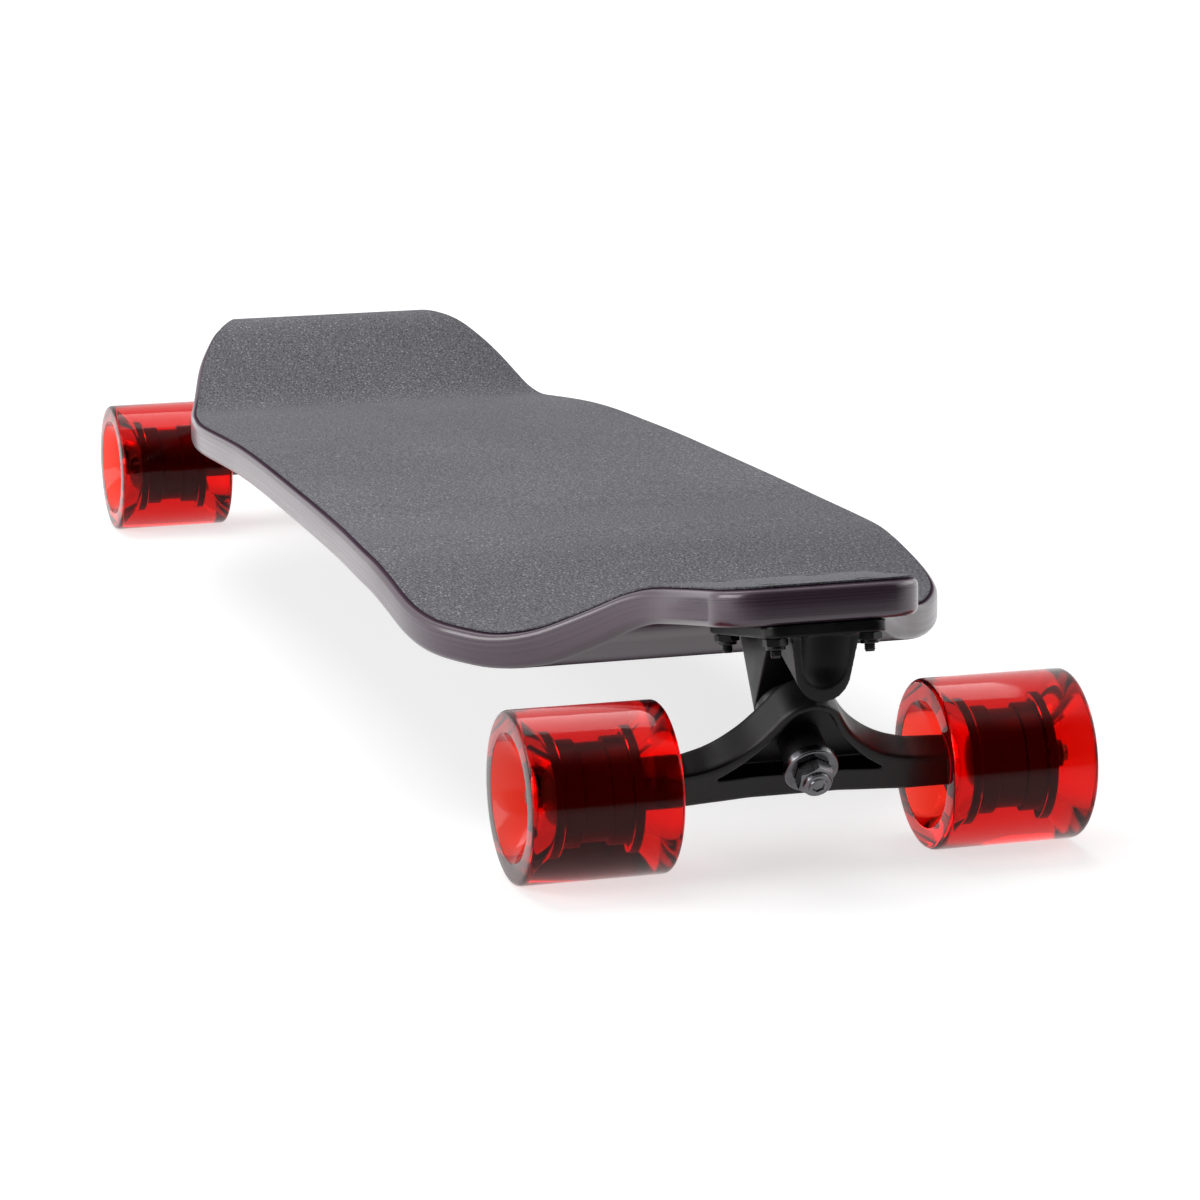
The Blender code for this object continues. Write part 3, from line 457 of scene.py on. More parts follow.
def hull(points: Iterable[Vector]) -> bmesh.types.BMesh:
    """Return the convex hull of some points."""
    shape = bmesh.new()
    for point in points:
        shape.verts.new(point)
    made = bmesh.ops.convex_hull(shape, input=shape.verts)
    spare = [item for item in made["geom_interior"] if isinstance(item, bmesh.types.BMVert)]
    bmesh.ops.delete(shape, geom=spare, context="VERTS")
    return tidied(shape)


def copied(shape: bmesh.types.BMesh, matrix: Matrix) -> bmesh.types.BMesh:
    """Return a copy of a shape, stood at a matrix."""
    made = shape.copy()
    bmesh.ops.transform(made, matrix=matrix, verts=made.verts)
    return made


def gathered(shapes: Iterable[bmesh.types.BMesh]) -> bmesh.types.BMesh:
    """Put several shapes into one and free them."""
    made = bmesh.new()
    for shape in shapes:
        mesh = bpy.data.meshes.new("gathered")
        shape.to_mesh(mesh)
        shape.free()
        made.from_mesh(mesh)
        bpy.data.meshes.remove(mesh)
    return made


def smooth_through(points: Sequence[tuple[float, float]], steps: int) -> Profile:
    """Return points on a smooth curve through the given (across, up) points."""
    route = [points[0], *points, points[-1]]
    made: Profile = []
    for before, start, end, after in zip(route, route[1:], route[2:], route[3:]):
        for index in range(steps):
            t = index / steps
            across, up = (
                0.5 * (2 * b + (c - a) * t + (2 * a - 5 * b + 4 * c - d) * t ** 2
                       + (3 * b - a - 3 * c + d) * t ** 3)
                for a, b, c, d in zip(before, start, end, after))
            made.append((across, up))
    made.append(points[-1])
    return made


def mirrored(points: Profile) -> Profile:
    """Return a whole outline from its left half, given from the middle outwards."""
    return [(-across, up) for across, up in reversed(points[1:])] + list(points)


@dataclass(frozen=True)
class CastSkin:
    """How far a casting's edges are softened."""

    voxel: float = 0.6 * MM
    passes: int = 4


class Bench:
    """A place to join and cut solids; its own objects are removed once the result is taken."""

    def __init__(self) -> None:
        """Start with nothing on the bench."""
        self.scratch: list[bpy.types.Object] = []

    def lay(self, shape: bmesh.types.BMesh) -> bpy.types.Object:
        """Make a scratch object from a shape."""
        mesh = bpy.data.meshes.new("bench")
        shape.to_mesh(mesh)
        shape.free()
        item = bpy.data.objects.new("bench", mesh)
        bpy.context.scene.collection.objects.link(item)
        self.scratch.append(item)
        return item

    def combine(self, base: bmesh.types.BMesh, steps: Sequence[tuple[Joining, bmesh.types.BMesh]],
                skin: Optional[CastSkin] = None) -> bmesh.types.BMesh:
        """Join and cut solids in order.

        Args:
            base: the solid that is worked on.
            steps: what is done with each further solid.
            skin: how a casting's edges are softened, if it is one.

        Returns:
            The finished shape.
        """
        item = self.lay(base)
        for joining, shape in steps:
            step = item.modifiers.new("join", "BOOLEAN")
            step.operation = joining.value
            step.solver = "EXACT"
            step.object = self.lay(shape)
        if skin is not None:
            remesh = item.modifiers.new("skin", "REMESH")
            remesh.mode = "VOXEL"
            remesh.voxel_size = skin.voxel
            soften = item.modifiers.new("soften", "SMOOTH")
            soften.factor = 0.5
            soften.iterations = skin.passes
        graph = bpy.context.evaluated_depsgraph_get()
        mesh = bpy.data.meshes.new_from_object(item.evaluated_get(graph))
        made = bmesh.new()
        made.from_mesh(mesh)
        bpy.data.meshes.remove(mesh)
        self.clear()
        return made

    def clear(self) -> None:
        """Remove what lies on the bench."""
        for item in self.scratch:
            mesh = item.data
            bpy.data.objects.remove(item, do_unlink=True)
            bpy.data.meshes.remove(mesh)
        self.scratch.clear()


@dataclass(frozen=True)
class Bend:
    """The ends of a soft piece that crosses a joint: its own body at start and another body at end; these
    ends are kept but not used to bend the piece.
    """

    body: str
    start: Vector
    end: Vector


@dataclass
class Dresser:
    """Turns shapes into named pieces with a finish, a body to ride on and a node to stand for."""

    materials: dict[Finish, bpy.types.Material]
    sharp_angle: float = math.radians(38.0)

    def dress(self, shape: bmesh.types.BMesh, node: str, body: str, finish: Finish,
              sharp: Optional[float] = None, bend: Optional[Bend] = None) -> bpy.types.Object:
        """Make a piece.

        Args:
            shape: its mesh, in place; it is freed.
            node: the CAD node that the piece stands for.
            body: the CAD body that it rides on.
            finish: what it is coated with or made of.
            sharp: the angle past which an edge stays sharp, where it isn't the usual one.
            bend: where given, the piece is left on no body with its place baked into its mesh; what the bend
                holds is not read.

        Returns:
            The finished piece.
        """
        mesh = bpy.data.meshes.new(f"{node}_piece")
        shape.to_mesh(mesh)
        shape.free()
        mesh.shade_smooth()
        mesh.set_sharp_from_angle(angle=self.sharp_angle if sharp is None else sharp)
        mesh.materials.clear()
        mesh.materials.append(self.materials[finish])
        piece = bpy.data.objects.new(f"{node}_piece", mesh)
        bpy.context.scene.collection.objects.link(piece)
        if bend is None:
            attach(piece, body)
        else:
            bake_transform(piece)
        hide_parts(node)
        LOG.info("%s: %d faces on %s", piece.name, len(mesh.polygons), body)
        return piece


def blend_low(first: float, second: float, width: float) -> float:
    """Return the smaller of two heights, rounded over where they cross."""
    share = min(max(0.5 + 0.5 * (second - first) / width, 0.0), 1.0)
    return second + (first - second) * share - width * share * (1 - share)


def blend_high(first: float, second: float, width: float) -> float:
    """Return the larger of two heights, rounded over where they cross."""
    return -blend_low(-first, -second, width)


@dataclass
class Deck:
    """The deck and its grip sheet: drawn flat, then bent to the board's line."""

    dresser: Dresser
    bench: Bench
    axle_x: float = 433.0 * MM
    overhang: float = 46.0 * MM
    thickness: float = 15.5 * MM
    edge_radius: float = 3.2 * MM
    corner_radius: float = 22.0 * MM
    platform_height: float = 98.4 * MM
    platform_run: float = 233.0 * MM
    level_share: float = 0.2
    camber_run: float = 148.0 * MM
    rear_camber: float = 9.5 * MM
    front_camber: float = 4.0 * MM
    front_droop: float = 10.0 * MM
    droop_run: float = 133.0 * MM
    neck_height: float = 120.4 * MM
    neck_tilt: float = math.radians(9.5)
    ramp_slope: float = math.tan(math.radians(29.0))
    rear_ramp: tuple[float, float] = (92.0 * MM, 109.5 * MM)
    front_ramp: tuple[float, float] = (73.0 * MM, 99.0 * MM)
    foot_blend: float = 9.0 * MM
    rear_crest_blend: float = 13.0 * MM
    front_crest_blend: float = 5.0 * MM
    grip_thickness: float = 1.0 * MM
    grip_inset: float = 3.4 * MM
    cut_spacing: float = 5.0 * MM
    outline_cuts: int = 260
    slope_step: float = 0.5 * MM
    rear_half_widths_mm: tuple[tuple[float, float], ...] = (
        (-46, 46), (-2, 48.5), (23, 55), (46, 64), (67, 77), (88, 88.5), (113, 97.5), (133, 104),
        (158, 109), (203, 115.5), (313, 117),
    )
    front_half_widths_mm: tuple[tuple[float, float], ...] = (
        (-46, 45.5), (18, 47.5), (38, 51.5), (58, 61.5), (73, 71.5), (88, 83.5), (105, 99), (123, 112),
        (148, 122.5), (203, 127), (313, 123.5),
    )
    middle_half_width: float = 120.0 * MM

    @property
    def length(self) -> float:
        """The deck's whole length."""
        return 2 * (self.axle_x + self.overhang)

    @property
    def grip_top(self) -> float:
        """The grip's upper face over the deck's."""
        return GAP + self.grip_thickness

    def neck_line(self, x: float) -> float:
        """Return the height of the neck plane at x; both necks rise towards the nose."""
        return self.neck_height + math.tan(self.neck_tilt) * (x - math.copysign(self.axle_x, x))

    def platform(self, x: float) -> float:
        """Return the height of the platform at x: level in the middle and bowed down to both ends."""
        end = self.axle_x - self.platform_run
        level = self.level_share * end
        beyond = max(abs(x) - level, 0.0) / (self.axle_x - self.camber_run - level)
        if x < 0:
            return self.platform_height - self.rear_camber * beyond ** 2
        share = min(max((x - end) / (self.platform_run - self.droop_run), 0.0), 1.0)
        droop = self.front_droop * share ** 2 * (3 - 2 * share)
        return self.platform_height - self.front_camber * beyond ** 2 - droop

    def top(self, x: float) -> float:
        """Return the height of the deck's top at x."""
        run, height = self.rear_ramp if x < 0 else self.front_ramp
        crest = self.rear_crest_blend if x < 0 else self.front_crest_blend
        ramp = height + self.ramp_slope * (abs(x) - self.axle_x + run)
        return blend_high(self.platform(x), blend_low(ramp, self.neck_line(x), crest), self.foot_blend)

    def stretch(self, x: float) -> float:
        """Return how much longer an upright cut through the deck is than a square one at x."""
        step = self.slope_step
        return math.hypot(1, (self.top(x + step) - self.top(x - step)) / (2 * step))

    def half_width(self, x: float) -> float:
        """Return half the deck's width at x, on a smooth curve through the tables' stations."""
        table = [(run * MM - self.axle_x, width * MM) for run, width in self.rear_half_widths_mm]
        table.append((0.0, self.middle_half_width))
        table += [(self.axle_x - run * MM, width * MM) for run, width in reversed(self.front_half_widths_mm)]
        spans = list(zip(table, table[1:]))
        slopes = [(b[1] - a[1]) / (b[0] - a[0]) for a, b in spans]
        tangents = [slopes[0]] + [(a + b) / 2 for a, b in zip(slopes, slopes[1:])] + [slopes[-1]]
        index = 0
        while index < len(spans) - 1 and x > spans[index][1][0]:
            index += 1
        (x0, w0), (x1, w1) = spans[index]
        length = x1 - x0
        t = min(max((x - x0) / length, 0.0), 1.0)
        return ((2 * t ** 3 - 3 * t ** 2 + 1) * w0 + (t ** 3 - 2 * t ** 2 + t) * length * tangents[index]
                + (3 * t ** 2 - 2 * t ** 3) * w1 + (t ** 3 - t ** 2) * length * tangents[index + 1])

    def outline(self, inset: float) -> list[Vector]:
        """Return the flat outline, drawn in by inset, with round corners at both tips."""
        tip = self.length / 2 - inset
        corner = self.corner_radius - inset
        left = []
        for index in range(self.outline_cuts + 1):
            t = 2 * index / self.outline_cuts - 1
            x = tip * (0.8 * math.sin(math.pi * t / 2) + 0.2 * t)
            short = corner - min(tip - abs(x), corner)
            width = self.half_width(x) - inset - corner + math.sqrt(max(corner ** 2 - short ** 2, 0.0))
            left.append(Vector((x, width, 0)))
        return left + [Vector((point.x, -point.y, 0)) for point in reversed(left)]

    def sheet(self, inset: float, thickness: float, rounding: float, segments: int) -> bmesh.types.BMesh:
        """Return a flat board with rounded rails, cut across so that it can be bent."""
        shape = prism(self.outline(inset), Vector((0, 0, -thickness)))
        rims = [edge for edge in shape.edges
                if abs(edge.verts[0].co.z - edge.verts[1].co.z) < 0.1 * thickness]
        bmesh.ops.bevel(shape, geom=rims, offset=rounding, segments=segments, profile=0.5, affect="EDGES",
                        material=-1, clamp_overlap=True)
        cuts = int(self.length / self.cut_spacing)
        for cut in range(1, cuts):
            x = self.length * (cut / cuts - 0.5)
            bmesh.ops.bisect_plane(shape, geom=[*shape.verts, *shape.edges, *shape.faces], dist=0.3 * MM,
                                   plane_co=(x, 0, 0), plane_no=(1, 0, 0))
        return shape

    def bend(self, shape: bmesh.types.BMesh, lift: float) -> bmesh.types.BMesh:
        """Bend a flat board to the deck's line, lifted off its top, and note each point's depth."""
        layer = shape.verts.layers.float.new(PLY_DEPTH)
        for vert in shape.verts:
            vert[layer] = -vert.co.z
            vert.co.z = self.top(vert.co.x) + (lift + vert.co.z) * self.stretch(vert.co.x)
        return tidied(shape)

    def neck_frame(self, end: End, offset: float) -> Matrix:
        """Return the frame on a neck's top plane, offset outboard of its axle."""
        x = end.value * (self.axle_x + offset)
        return Matrix.Translation((x, 0, self.neck_line(x))) @ Matrix.Rotation(-self.neck_tilt, 4, "Y")

    def build(self, bolt_frames: Iterable[Matrix], hole_radius: float) -> None:
        """Make the deck and the grip, with a hole in the grip at each bolt.

        Args:
            bolt_frames: where the bolts stand.
            hole_radius: how wide the grip is cut there.
        """
        board = self.bend(self.sheet(0.0, self.thickness, self.edge_radius, 5), 0.0)
        self.dresser.dress(board, "deck", "deck", Finish.RAIL, math.radians(60.0))
        grip = self.bend(self.sheet(self.grip_inset, self.grip_thickness, 0.25 * MM, 2), self.grip_top)
        hole = [(0, -2 * MM), (hole_radius, -2 * MM), (hole_radius, 4 * MM), (0, 4 * MM)]
        holes = gathered(spun(hole, 32, False, frame) for frame in bolt_frames)
        self.dresser.dress(self.bench.combine(grip, [(Joining.CUT, holes)]), "grip_tape", "deck", Finish.GRIP)


@dataclass
class Nuts:
    """Hexagon nuts and the small round hardware that goes with them."""

    bench: Bench
    facets: int = 48

    def hexagon(self, flats: float, height: float) -> bmesh.types.BMesh:
        """Return a six-sided body on z = 0 whose corners are turned off at both ends."""
        corner = flats / 2 / math.cos(math.pi / 6)
        drop = (corner - 0.97 * flats / 2) * 0.6
        barrel = [(0, 0), (0.97 * flats / 2, 0), (corner, drop), (corner, height - drop),
                  (0.97 * flats / 2, height), (0, height)]
        return self.bench.combine(prism(six_sided(corner, 0.0), Vector((0, 0, height))),
                                  [(Joining.KEEP, spun(barrel, self.facets, False))])

    def locknut(self, flats: float, height: float, collar: float) -> bmesh.types.BMesh:
        """Return a nut with a round collar on its upper end."""
        radius = 0.43 * flats
        ring = rounded([(0, height - collar - 0.2 * MM, 0), (radius, height - collar - 0.2 * MM, 0),
                        (radius, height, 0.35 * collar), (0, height, 0)], False)
        return gathered([self.hexagon(flats, height - collar), spun(ring, self.facets, False)])


@dataclass
class Wheel:
    """One clear wheel with its core, bearings and axle nut."""

    dresser: Dresser
    nuts: Nuts
    radius: float = 37.0 * MM
    width: float = 66.0 * MM
    corner: float = 2.5 * MM
    face_ratio: float = 0.75
    core_width: float = 38.0 * MM
    core_flange: tuple[float, float] = (17.0 * MM, 4.0 * MM)
    core_shoulder: float = 14.5 * MM
    core_groove: tuple[float, float] = (13.25 * MM, 13.0 * MM)
    core_bore: float = 8.6 * MM
    bond: float = 0.5 * MM
    bearing_radius: float = 11.0 * MM
    bearing_width: float = 7.0 * MM
    bearing_recess: float = 4.5 * MM
    core_counterbore: float = 13.5 * MM
    spacer_radius: float = 5.8 * MM
    speed_ring: float = 1.3 * MM
    axle_radius: float = 3.85 * MM
    nut_flats: float = 12.7 * MM
    nut_height: float = 7.5 * MM
    facets: int = 128

    def mirrored_ring(self, upper: Sequence[Corner]) -> Profile:
        """Return a ring's closed profile from its upper half."""
        lower = [(radius, -height, rounding) for radius, height, rounding in reversed(upper)]
        return rounded([*upper, *lower], True)

    def tyre(self, matrix: Matrix) -> bmesh.types.BMesh:
        """Return the cast tyre: rounded tread corners, cone recesses and a stepped bore."""
        half = self.width / 2
        core = self.core_width / 2
        flange_radius, flange_width = self.core_flange
        groove_radius, groove_width = self.core_groove
        ledge = core - flange_width - GAP
        waist = groove_width / 2 - GAP
        upper = [
            (self.radius, half, self.corner), (self.radius * self.face_ratio, half, 0.8 * MM),
            (flange_radius + GAP, core, 0.0), (flange_radius + GAP, ledge, 0.0),
            (self.core_shoulder + GAP, ledge, 0.0), (self.core_shoulder + GAP, waist, 0.0),
            (groove_radius + GAP, waist, 0.0),
        ]
        return spun(self.mirrored_ring(upper), self.facets, True, matrix)

    def core(self, matrix: Matrix) -> bmesh.types.BMesh:
        """Return the core, which bonds into the tyre without an air gap."""
        half = self.core_width / 2
        flange_radius, flange_width = self.core_flange
        groove_radius, groove_width = self.core_groove
        seat = self.bearing_radius + GAP / 2
        ridge = half - self.bearing_recess
        floor = ridge - self.bearing_width - GAP
        ledge = half - flange_width - self.bond
        upper = [
            (groove_radius + self.bond, groove_width / 2 - self.bond, 0.4 * MM),
            (self.core_shoulder + self.bond, groove_width / 2 - self.bond, 0.6 * MM),
            (self.core_shoulder + self.bond, ledge, 0.5 * MM),
            (flange_radius + self.bond, ledge + 0.6 * MM, 0.6 * MM),
            (flange_radius + self.bond, half, 0.0), (flange_radius - 0.4 * MM, half + 0.02 * MM, 0.0),
            (flange_radius - 1.6 * MM, half - 0.7 * MM, 0.3 * MM),
            (self.core_counterbore, half - 0.7 * MM, 0.3 * MM), (self.core_counterbore, ridge, 0.0),
            (seat, ridge, 0.2 * MM), (seat, floor, 0.0), (self.core_bore, floor, 0.0),
        ]
        return spun(self.mirrored_ring(upper), self.facets, True, matrix)

    def bearing(self, matrix: Matrix) -> bmesh.types.BMesh:
        """Return a bearing with its race edges, sunk shield, half spacer and speed ring."""
        bore = self.axle_radius + GAP / 2
        face = self.core_width / 2 - self.bearing_recess
        back = face - self.bearing_width
        shield = face - 0.55 * MM
        corners = [
            (bore, GAP / 2, 0.0), (bore, face + self.speed_ring, 0.0),
            (self.spacer_radius - 0.2 * MM, face + self.speed_ring, 0.25 * MM),
            (self.spacer_radius - 0.2 * MM, face, 0.0),
            (6.1 * MM, face, 0.15 * MM), (6.1 * MM, shield, 0.0), (6.5 * MM, shield, 0.0),
            (6.5 * MM, shield + 0.3 * MM, 0.1 * MM), (9.2 * MM, shield + 0.3 * MM, 0.1 * MM),
            (9.2 * MM, shield, 0.0), (9.6 * MM, shield, 0.0), (9.6 * MM, face, 0.15 * MM),
            (self.bearing_radius, face, 0.3 * MM), (self.bearing_radius, back, 0.3 * MM),
            (self.spacer_radius, back, 0.0), (self.spacer_radius, GAP / 2, 0.0),
        ]
        return spun(rounded(corners, True, 3), 64, True, matrix)

    def build(self, end: End, side: Side, centre: Vector) -> None:
        """Make one wheel at a corner of the board, with its axle nut."""
        prefix = f"{end.word}_{side.word}"
        body = f"{prefix}_wheel"
        outwards = Matrix.Translation(centre) @ Matrix.Rotation(-side.value * math.pi / 2, 4, "X")
        inwards = Matrix.Translation(centre) @ Matrix.Rotation(side.value * math.pi / 2, 4, "X")
        self.dresser.dress(self.tyre(outwards), f"{prefix}_tyre", body, Finish.TYRE)
        self.dresser.dress(self.core(outwards), f"{prefix}_core", body, Finish.CORE)
        self.dresser.dress(self.bearing(outwards), f"{prefix}_outer_bearing", body, Finish.STEEL)
        self.dresser.dress(self.bearing(inwards), f"{prefix}_inner_bearing", body, Finish.STEEL)
        start = self.core_width / 2 - self.bearing_recess + self.speed_ring + GAP
        nut = self.nuts.locknut(self.nut_flats, self.nut_height, 1.6 * MM)
        bmesh.ops.transform(nut, matrix=outwards @ Matrix.Translation((0, 0, start)), verts=nut.verts)
        self.dresser.dress(nut, f"{prefix}_axle_nut", f"{end.word}_truck", Finish.BLACKENED)


@dataclass
class Truck:
    """One reverse-kingpin truck: baseplate, steering stack, hanger, axle and deck bolts."""

    dresser: Dresser
    bench: Bench
    nuts: Nuts
    deck: Deck
    wheel: Wheel
    end: End
    track: float = 185.0 * MM
    plate: Vector = field(default_factory=lambda: Vector((82.0, 54.0, 5.0)) * MM)
    plate_corner: float = 7.0 * MM
    plate_offset: float = 2.0 * MM
    hole_spacing: tuple[float, float] = (63.5 * MM, 41.28 * MM)
    kingpin_dip: float = math.radians(32.0)
    kingpin_lift: float = 19.0 * MM
    kingpin_radius: float = 4.75 * MM
    kingpin_root: float = -40.0 * MM
    kingpin_tip: float = 26.4 * MM
    ring: tuple[float, float] = (-8.5 * MM, -2.5 * MM)
    ring_bore: float = 8.0 * MM
    seat_depth: float = -24.0 * MM
    seat_radius: float = 13.5 * MM
    seat_clearance: float = 1.8 * MM
    washer_thickness: float = 1.8 * MM
    washer_lip: float = 2.4 * MM
    washer_rim: float = 1.4 * MM
    bushing_radius: float = 11.8 * MM
    roadside_base_radius: float = 9.4 * MM
    roadside_tip_radius: float = 10.2 * MM
    roadside_washer: float = 15.2 * MM
    nut_start: float = 17.3 * MM
    nut_height: float = 8.5 * MM
    nut_flats: float = 14.3 * MM
    pivot: Vector = field(default_factory=lambda: Vector((-22.5, 0, -0.5)) * MM)
    stub_radius: float = 5.5 * MM
    stub_length: float = 26.0 * MM
    cup_wall: float = 1.2 * MM
    cup_depth: float = 5.7 * MM
    housing_wall: float = 1.7 * MM
    tower_half_width: float = 13.5 * MM
    tower_half_depth: float = 9.0 * MM
    tower_foot: tuple[float, float] = (-6.5 * MM, -1.0 * MM)
    tower_foot_lift: float = 3.0 * MM
    tower_foot_inset: float = 5.0 * MM
    boss_front: float = 11.0 * MM
    nose_half_width: float = 15.5 * MM
    nose_radius: float = 12.0 * MM
    nose_span: tuple[float, float] = (12.0 * MM, 42.0 * MM)
    nose_bottom: float = 40.0 * MM
    nose_lean: float = 3.0 * MM
    nose_least_depth: float = 1.0 * MM
    scoop_levels: tuple[float, float] = (43.5 * MM, 69.0 * MM)
    scoop_radius: float = 15.0 * MM
    scoop_depth: float = 5.5 * MM
    scoop_steps: int = 24
    bolt_radius: float = 2.4 * MM
    bolt_head_radius: float = 4.6 * MM
    bolt_nut_flats: float = 9.5 * MM
    bolt_nut_height: float = 4.8 * MM
    bolt_protrusion: float = 3.4 * MM
    bolt_sink: float = 0.2 * MM
    hanger_outline_mm: tuple[tuple[float, float], ...] = (
        (0, 46.5), (7, 44.3), (12, 40), (16, 33.5), (20.5, 27), (26, 21.5),
        (33.5, 16.5), (41, 13.5), (50, 12))
    hanger_pocket_mm: tuple[tuple[float, float], ...] = (
        (0, 43.5), (5.5, 41.7), (9.5, 37.5), (13, 31), (17.5, 24.5), (23, 18.5), (29.5, 12.5), (37, 7.6))
    hanger_end_height: float = 10.5 * MM
    hanger_bottom: float = -7.2 * MM
    hanger_pocket_floor: float = 6.4 * MM
    hanger_depth: tuple[float, float] = (-13.0 * MM, 5.5 * MM)
    hanger_end_half_depth: float = 7.5 * MM
    hanger_thinning: tuple[float, float] = (20.0 * MM, 50.0 * MM)
    hanger_bevel: float = 2.0 * MM
    overrun: float = 2.0 * MM

    def __post_init__(self) -> None:
        """Work out the truck's frames from its sizes."""
        turn = 0.0 if self.end is End.FRONT else math.pi
        self.frame = (Matrix.Translation((self.end.value * self.deck.axle_x, 0, self.wheel.radius))
                      @ Matrix.Rotation(turn, 4, "Z"))
        self.down = Vector((math.cos(self.kingpin_dip), 0, -math.sin(self.kingpin_dip)))
        self.up = Vector((math.sin(self.kingpin_dip), 0, math.cos(self.kingpin_dip)))
        axes = Matrix((self.up, self.down.cross(self.up), self.down)).transposed()
        self.kingpin_frame = Matrix.Translation(self.up * self.kingpin_lift) @ axes.to_4x4()
        ring_centre = self.down * sum(self.ring) / 2 + self.up * self.kingpin_lift
        steer = (ring_centre - self.pivot).normalized()
        across = Vector((0, 1, 0))
        turned = Matrix((across.cross(steer), across, steer)).transposed()
        self.steer_frame = Matrix.Translation(self.pivot) @ turned.to_4x4()
        self.plate_top = -self.deck.thickness - GAP
        self.plate_bottom = self.plate_top - self.plate.z
        wheel = self.wheel
        self.hanger_reach = (self.track / 2 - wheel.core_width / 2 + wheel.bearing_recess - wheel.speed_ring
                             - GAP)
        self.prefix = self.end.word
        self.body = f"{self.prefix}_truck"

    def bolt_frames(self) -> dict[str, Matrix]:
        """Return the named frames of the four deck bolts."""
        neck = self.deck.neck_frame(self.end, self.plate_offset)
        frames = {}
        for along, lengthwise in ((1, "nose"), (-1, "tail")):
            for side in Side:
                shift = (along * self.hole_spacing[0] / 2, side.value * self.hole_spacing[1] / 2, 0)
                frames[f"{lengthwise}_{side.word}"] = neck @ Matrix.Translation(shift)
        return frames

    def stood(self, shape: bmesh.types.BMesh, matrix: Optional[Matrix] = None) -> bmesh.types.BMesh:
        """Move a truck-frame shape to its place on the board."""
        place = self.frame if matrix is None else self.frame @ matrix
        bmesh.ops.transform(shape, matrix=place, verts=shape.verts)
        return shape

    def plate_level(self, x: float) -> float:
        """Return the height of the middle of the flange at x in the truck's frame."""
        middle = (self.plate_top + self.plate_bottom) / 2 / math.cos(self.deck.neck_tilt)
        slope = self.end.value * math.tan(self.deck.neck_tilt)
        return self.deck.neck_height - self.wheel.radius + slope * x + middle

    def flange(self) -> bmesh.types.BMesh:
        """Return the flat mounting flange, in the truck's frame, with its bolt holes."""
        outline = []
        for quarter in range(4):
            sign_x = 1 if quarter in (0, 3) else -1
            sign_y = 1 if quarter in (0, 1) else -1
            for step in range(9):
                turn = (quarter + step / 8) * math.pi / 2
                outline.append(Vector((
                    sign_x * (self.plate.x / 2 - self.plate_corner) + self.plate_corner * math.cos(turn),
                    sign_y * (self.plate.y / 2 - self.plate_corner) + self.plate_corner * math.sin(turn),
                    self.plate_bottom)))
        shape = prism(outline, Vector((0, 0, self.plate.z)))
        neck = self.deck.neck_frame(self.end, self.plate_offset)
        bmesh.ops.transform(shape, matrix=self.frame.inverted() @ neck, verts=shape.verts)
        return shape

    def nose(self) -> bmesh.types.BMesh:
        """Return the rounded nose that hangs from the outboard end of the flange."""
        front = self.nose_span[1]
        points = []
        for x, lean in zip(self.nose_span, (0.0, self.nose_lean)):
            level = self.plate_level(x)
            slanted = self.nose_bottom + (front - x) * math.tan(self.kingpin_dip)
            bottom = min(slanted, level - self.nose_least_depth)
            drop = min(self.nose_radius, level - bottom)
            points += [Vector((x, side.value * self.nose_half_width, level)) for side in Side]
            for step in range(33):
                angle = math.pi * (1 + step / 32)
                points.append(Vector((x - lean, self.nose_radius * math.cos(angle),
                                      bottom + drop + drop * math.sin(angle))))
        return hull(points)

    def scoop(self) -> bmesh.types.BMesh:
        """Return the smooth bowl-ended hollow in the nose's front face, as an upright round-ended bar."""
        low, high = self.scoop_levels
        radius = self.scoop_radius
        stand_off = radius - self.scoop_depth
        centre = low + math.sqrt(radius ** 2 - stand_off ** 2)
        profile = []
        for step in range(self.scoop_steps + 1):
            angle = math.pi / 2 * step / self.scoop_steps
            profile.append((radius * math.sin(angle), -radius * math.cos(angle)))
        profile += [(radius, high - centre), (0.0, high - centre)]
        stand = Matrix.Translation((self.nose_span[1] + stand_off, 0, centre))
        return spun(profile, 96, False, stand)

    def tower(self) -> bmesh.types.BMesh:
        """Return the web that carries the pivot cup's housing."""
        housing = self.stub_radius + self.cup_wall + 2 * GAP + self.housing_wall
        foot = housing - self.tower_foot_inset
        points = []
        for side in Side:
            for reach in (-self.tower_half_depth, self.tower_half_depth):
                x = self.pivot.x + reach
                points.append(Vector((x, side.value * self.tower_half_width, self.plate_level(x))))
            for reach in self.tower_foot:
                points.append(Vector((self.pivot.x + reach, side.value * foot,
                                      self.pivot.z + self.tower_foot_lift)))
        return hull(points)

    def boss(self) -> bmesh.types.BMesh:
        """Return the boss that the kingpin is set in."""
        points = []
        for step in range(64):
            angle = step * math.pi / 32
            points.append(self.kingpin_frame @ Vector((
                self.seat_radius * math.cos(angle), self.seat_radius * math.sin(angle), self.seat_depth)))
        for x in (self.pivot.x - self.tower_half_depth, self.boss_front):
            points += [Vector((x, side.value * self.tower_half_width, self.plate_level(x))) for side in Side]
        return hull(points)

